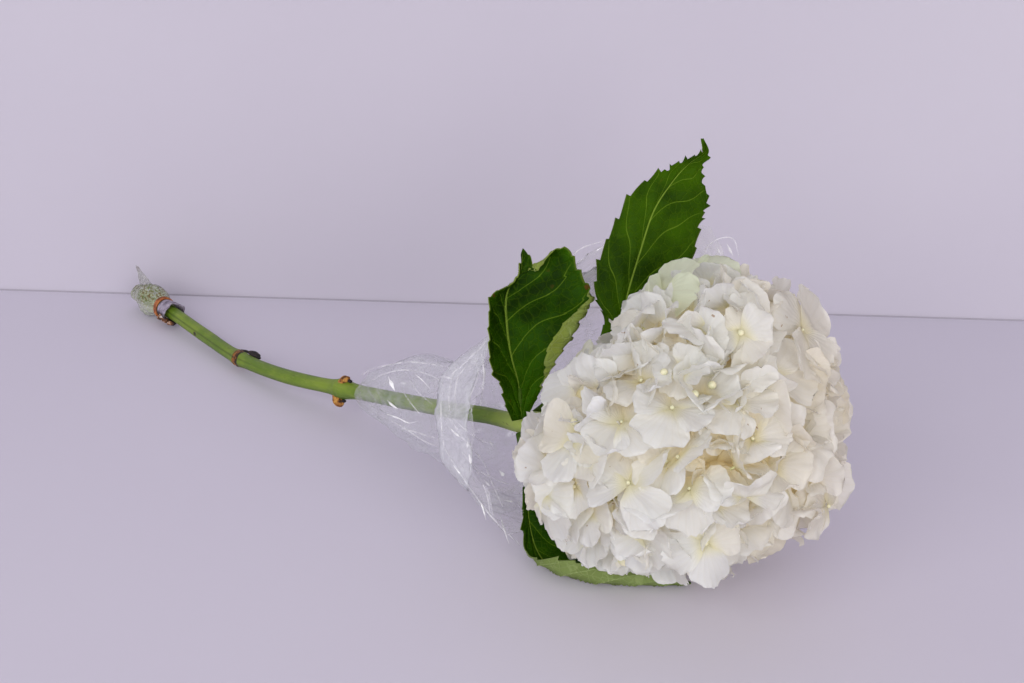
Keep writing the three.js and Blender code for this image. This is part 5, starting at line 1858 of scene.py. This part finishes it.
def make_cuff():
    """A band of two skins, outer and inner, that widens and ruffles towards the head."""
    steps, sides = 40, 96
    x = np.linspace(CUFF_FROM, CUFF_TO, steps)
    x = np.concatenate([x, x[::-1]])
    share = (x - CUFF_FROM) / (CUFF_TO - CUFF_FROM)
    angle = 2 * np.pi * np.arange(sides) / sides
    outer = np.arange(2 * steps) < steps
    flare = 1.3 * share**1.2
    base = BAG_NECK_RADIUS + 0.35 + flare + np.where(outer, 1.0, 0)
    ruffle = 0.55 * share[:, None] * np.sin(5 * angle + 1) + 0.3 * np.sin(9 * angle + 6 * share[:, None])
    soft = 0.5 * facets(angle[None] * 7, x[:, None], 4, 44)
    first, second, _ = steady_axes(stem_at(np.linspace(CUFF_FROM, CUFF_TO, 3)))
    reach = base[:, None] + (ruffle + soft) * share[:, None]
    rings = stem_at(x)[:, None] + reach[..., None] * round_stem(angle, first[1], second[1])
    rings[..., 2] = np.maximum(rings[..., 2], 0.8)
    quads = grid_quads(2 * steps, sides)
    wrap = np.arange(2 * steps - 1) * sides
    wrap = np.stack([wrap + sides - 1, wrap, wrap + sides, wrap + 2 * sides - 1], 1)
    close = (2 * steps - 1) * sides + np.arange(sides)
    seam = np.stack([close, np.roll(close, -1), (np.arange(sides) + 1) % sides, np.arange(sides)], 1)
    faces = np.concatenate([quads, wrap, seam])
    new_piece("cuff", rings.reshape(-1, 3), [faces], None, None, "cuff", ["bag_cuff"], [CUFF_GREY])


make_cuff()
BAND_X = -494.5
middle, heading = along_stem(BAND_X, 0, 0)
first, second, _ = steady_axes(stem_at(np.array([BAND_X - 0.5, BAND_X, BAND_X + 0.5])))
angle = np.linspace(0, 2 * np.pi, 90)
coils = []
for k in range(3):
    reach = BAG_NECK_RADIUS + 1.45 + 0.15 * np.sin(3 * angle + k)
    line = middle + heading * (1.5 * (k - 1) + 0.5 * np.sin(angle + 2 * k))[:, None]
    line = line + reach[:, None] * round_stem(angle, first[1], second[1])
    line[:, 2] = np.maximum(line[:, 2], 1.2)
    coils.append(tubes(line[None], np.full((1, 90), 0.85), 14, up=heading))
points, faces = join(coils)
new_piece("band", points, faces, None, None, "band", ["rubber_band"], [BAND_BROWN])

# node, place along X, turn from up, gap to the stem's skin, and half length, half width and half height
STUBS = [
    ("bud_stub_upper", -265, 8, 0.6, (5.2, 3.0, 2.7)),
    ("bud_stub_lower", -271.5, 154, 0.8, (4.9, 3.4, 3.6)),
]
for seed, (name, x, turn, off, (long, wide, high)) in enumerate(STUBS):
    place, heading = along_stem(x, stem_radius(x) + off, turn)
    out = unit(place - stem_at(np.array([x]))[0])
    steps, sides = 26, 32
    share = np.linspace(-1, 1, steps)
    line = place + out * (share * high)[:, None]
    radius = np.sqrt(np.maximum(1 - share**2, 0.02))
    angle = 2 * np.pi * np.arange(sides) / sides
    oval = 1 / np.sqrt((np.cos(angle) / long) ** 2 + (np.sin(angle) / wide) ** 2)
    ovals = np.broadcast_to(oval, (1, steps, sides))
    points, faces = tubes(line[None], radius[None], sides, up=heading, shape=ovals)
    points += (0.3 * ((points - place) @ heading))[:, None] * out
    points = lump(points, 0.2, seed + 2, 1.6)
    points[:, 2] = np.maximum(points[:, 2], 0.5)
    new_piece(name + "_dry", points, faces, None, None, "dry_stub", [name], [STUB_TAN])
    tip = place + heading * (long + 0.8) + out * 0.2
    points, faces = eggs(tip[None], heading[None], np.array([1.7]), np.array([1.05]), 12, 16, out, 0.03)
    points = lump(points, 0.25, seed + 50, 0.8)
    new_piece(name + "_tip", points, faces, None, None, "withered", [name], [WITHERED_BLACK])

CRUMB_BROWN = matt_finish("crumb_brown", [
    (0.32, colour(34, 22, 20)), (0.48, colour(96, 56, 30)),
    (0.56, colour(150, 100, 54)), (0.64, colour(200, 192, 192)),
], 300, 0.7, 0.0008)
# brown leftovers between the cuff and the stem, underneath: place along X, distance from the stem's line,
# turn from up, radius
CRUMBS = [(-480, 7.6, 118, 1.9), (-484, 7.9, 104, 1.6), (-475, 7.2, 130, 1.7), (-488, 8.2, 122, 1.5)]
crumbs = []
for seed, (x, out, turn, size) in enumerate(CRUMBS):
    place, heading = along_stem(x, out, turn)
    half_length, radius = np.array([1.7 * size]), np.array([size])
    points, faces = eggs(place[None], heading[None], half_length, radius, 14, 18, (0.2, 0.5, 0.8), 0.03)
    points = lump(points, 0.22, seed + 30, 0.8)
    points[:, 2] = np.maximum(points[:, 2], 0.4)
    crumbs.append((points, faces))
points, faces = join(crumbs)
new_piece("cuff_crumbs", points, faces, None, None, "band", ["bag_cuff"], [CRUMB_BROWN])

SHOOT_LINE = [(-382, -3.4, 12.5), (-376, -2.6, 13.3), (-370, -2.2, 13.0), (-362, -2.4, 12.2)]
share = np.linspace(0, 1, 40)
line = smooth_rows(SHOOT_LINE, share)
thick = (0.9 + 1.7 * smoothstep(0.35, 0.75, share)) * np.sqrt(np.clip(1 - share**10, 0.05, 1))
points, faces = tubes(line[None], thick[None], 24)
points = lump(points, 0.07, 9, 1.0)
new_piece("withered_stalk", points, faces, None, None, "withered", ["withered_shoot"], [WITHERED_BLACK])
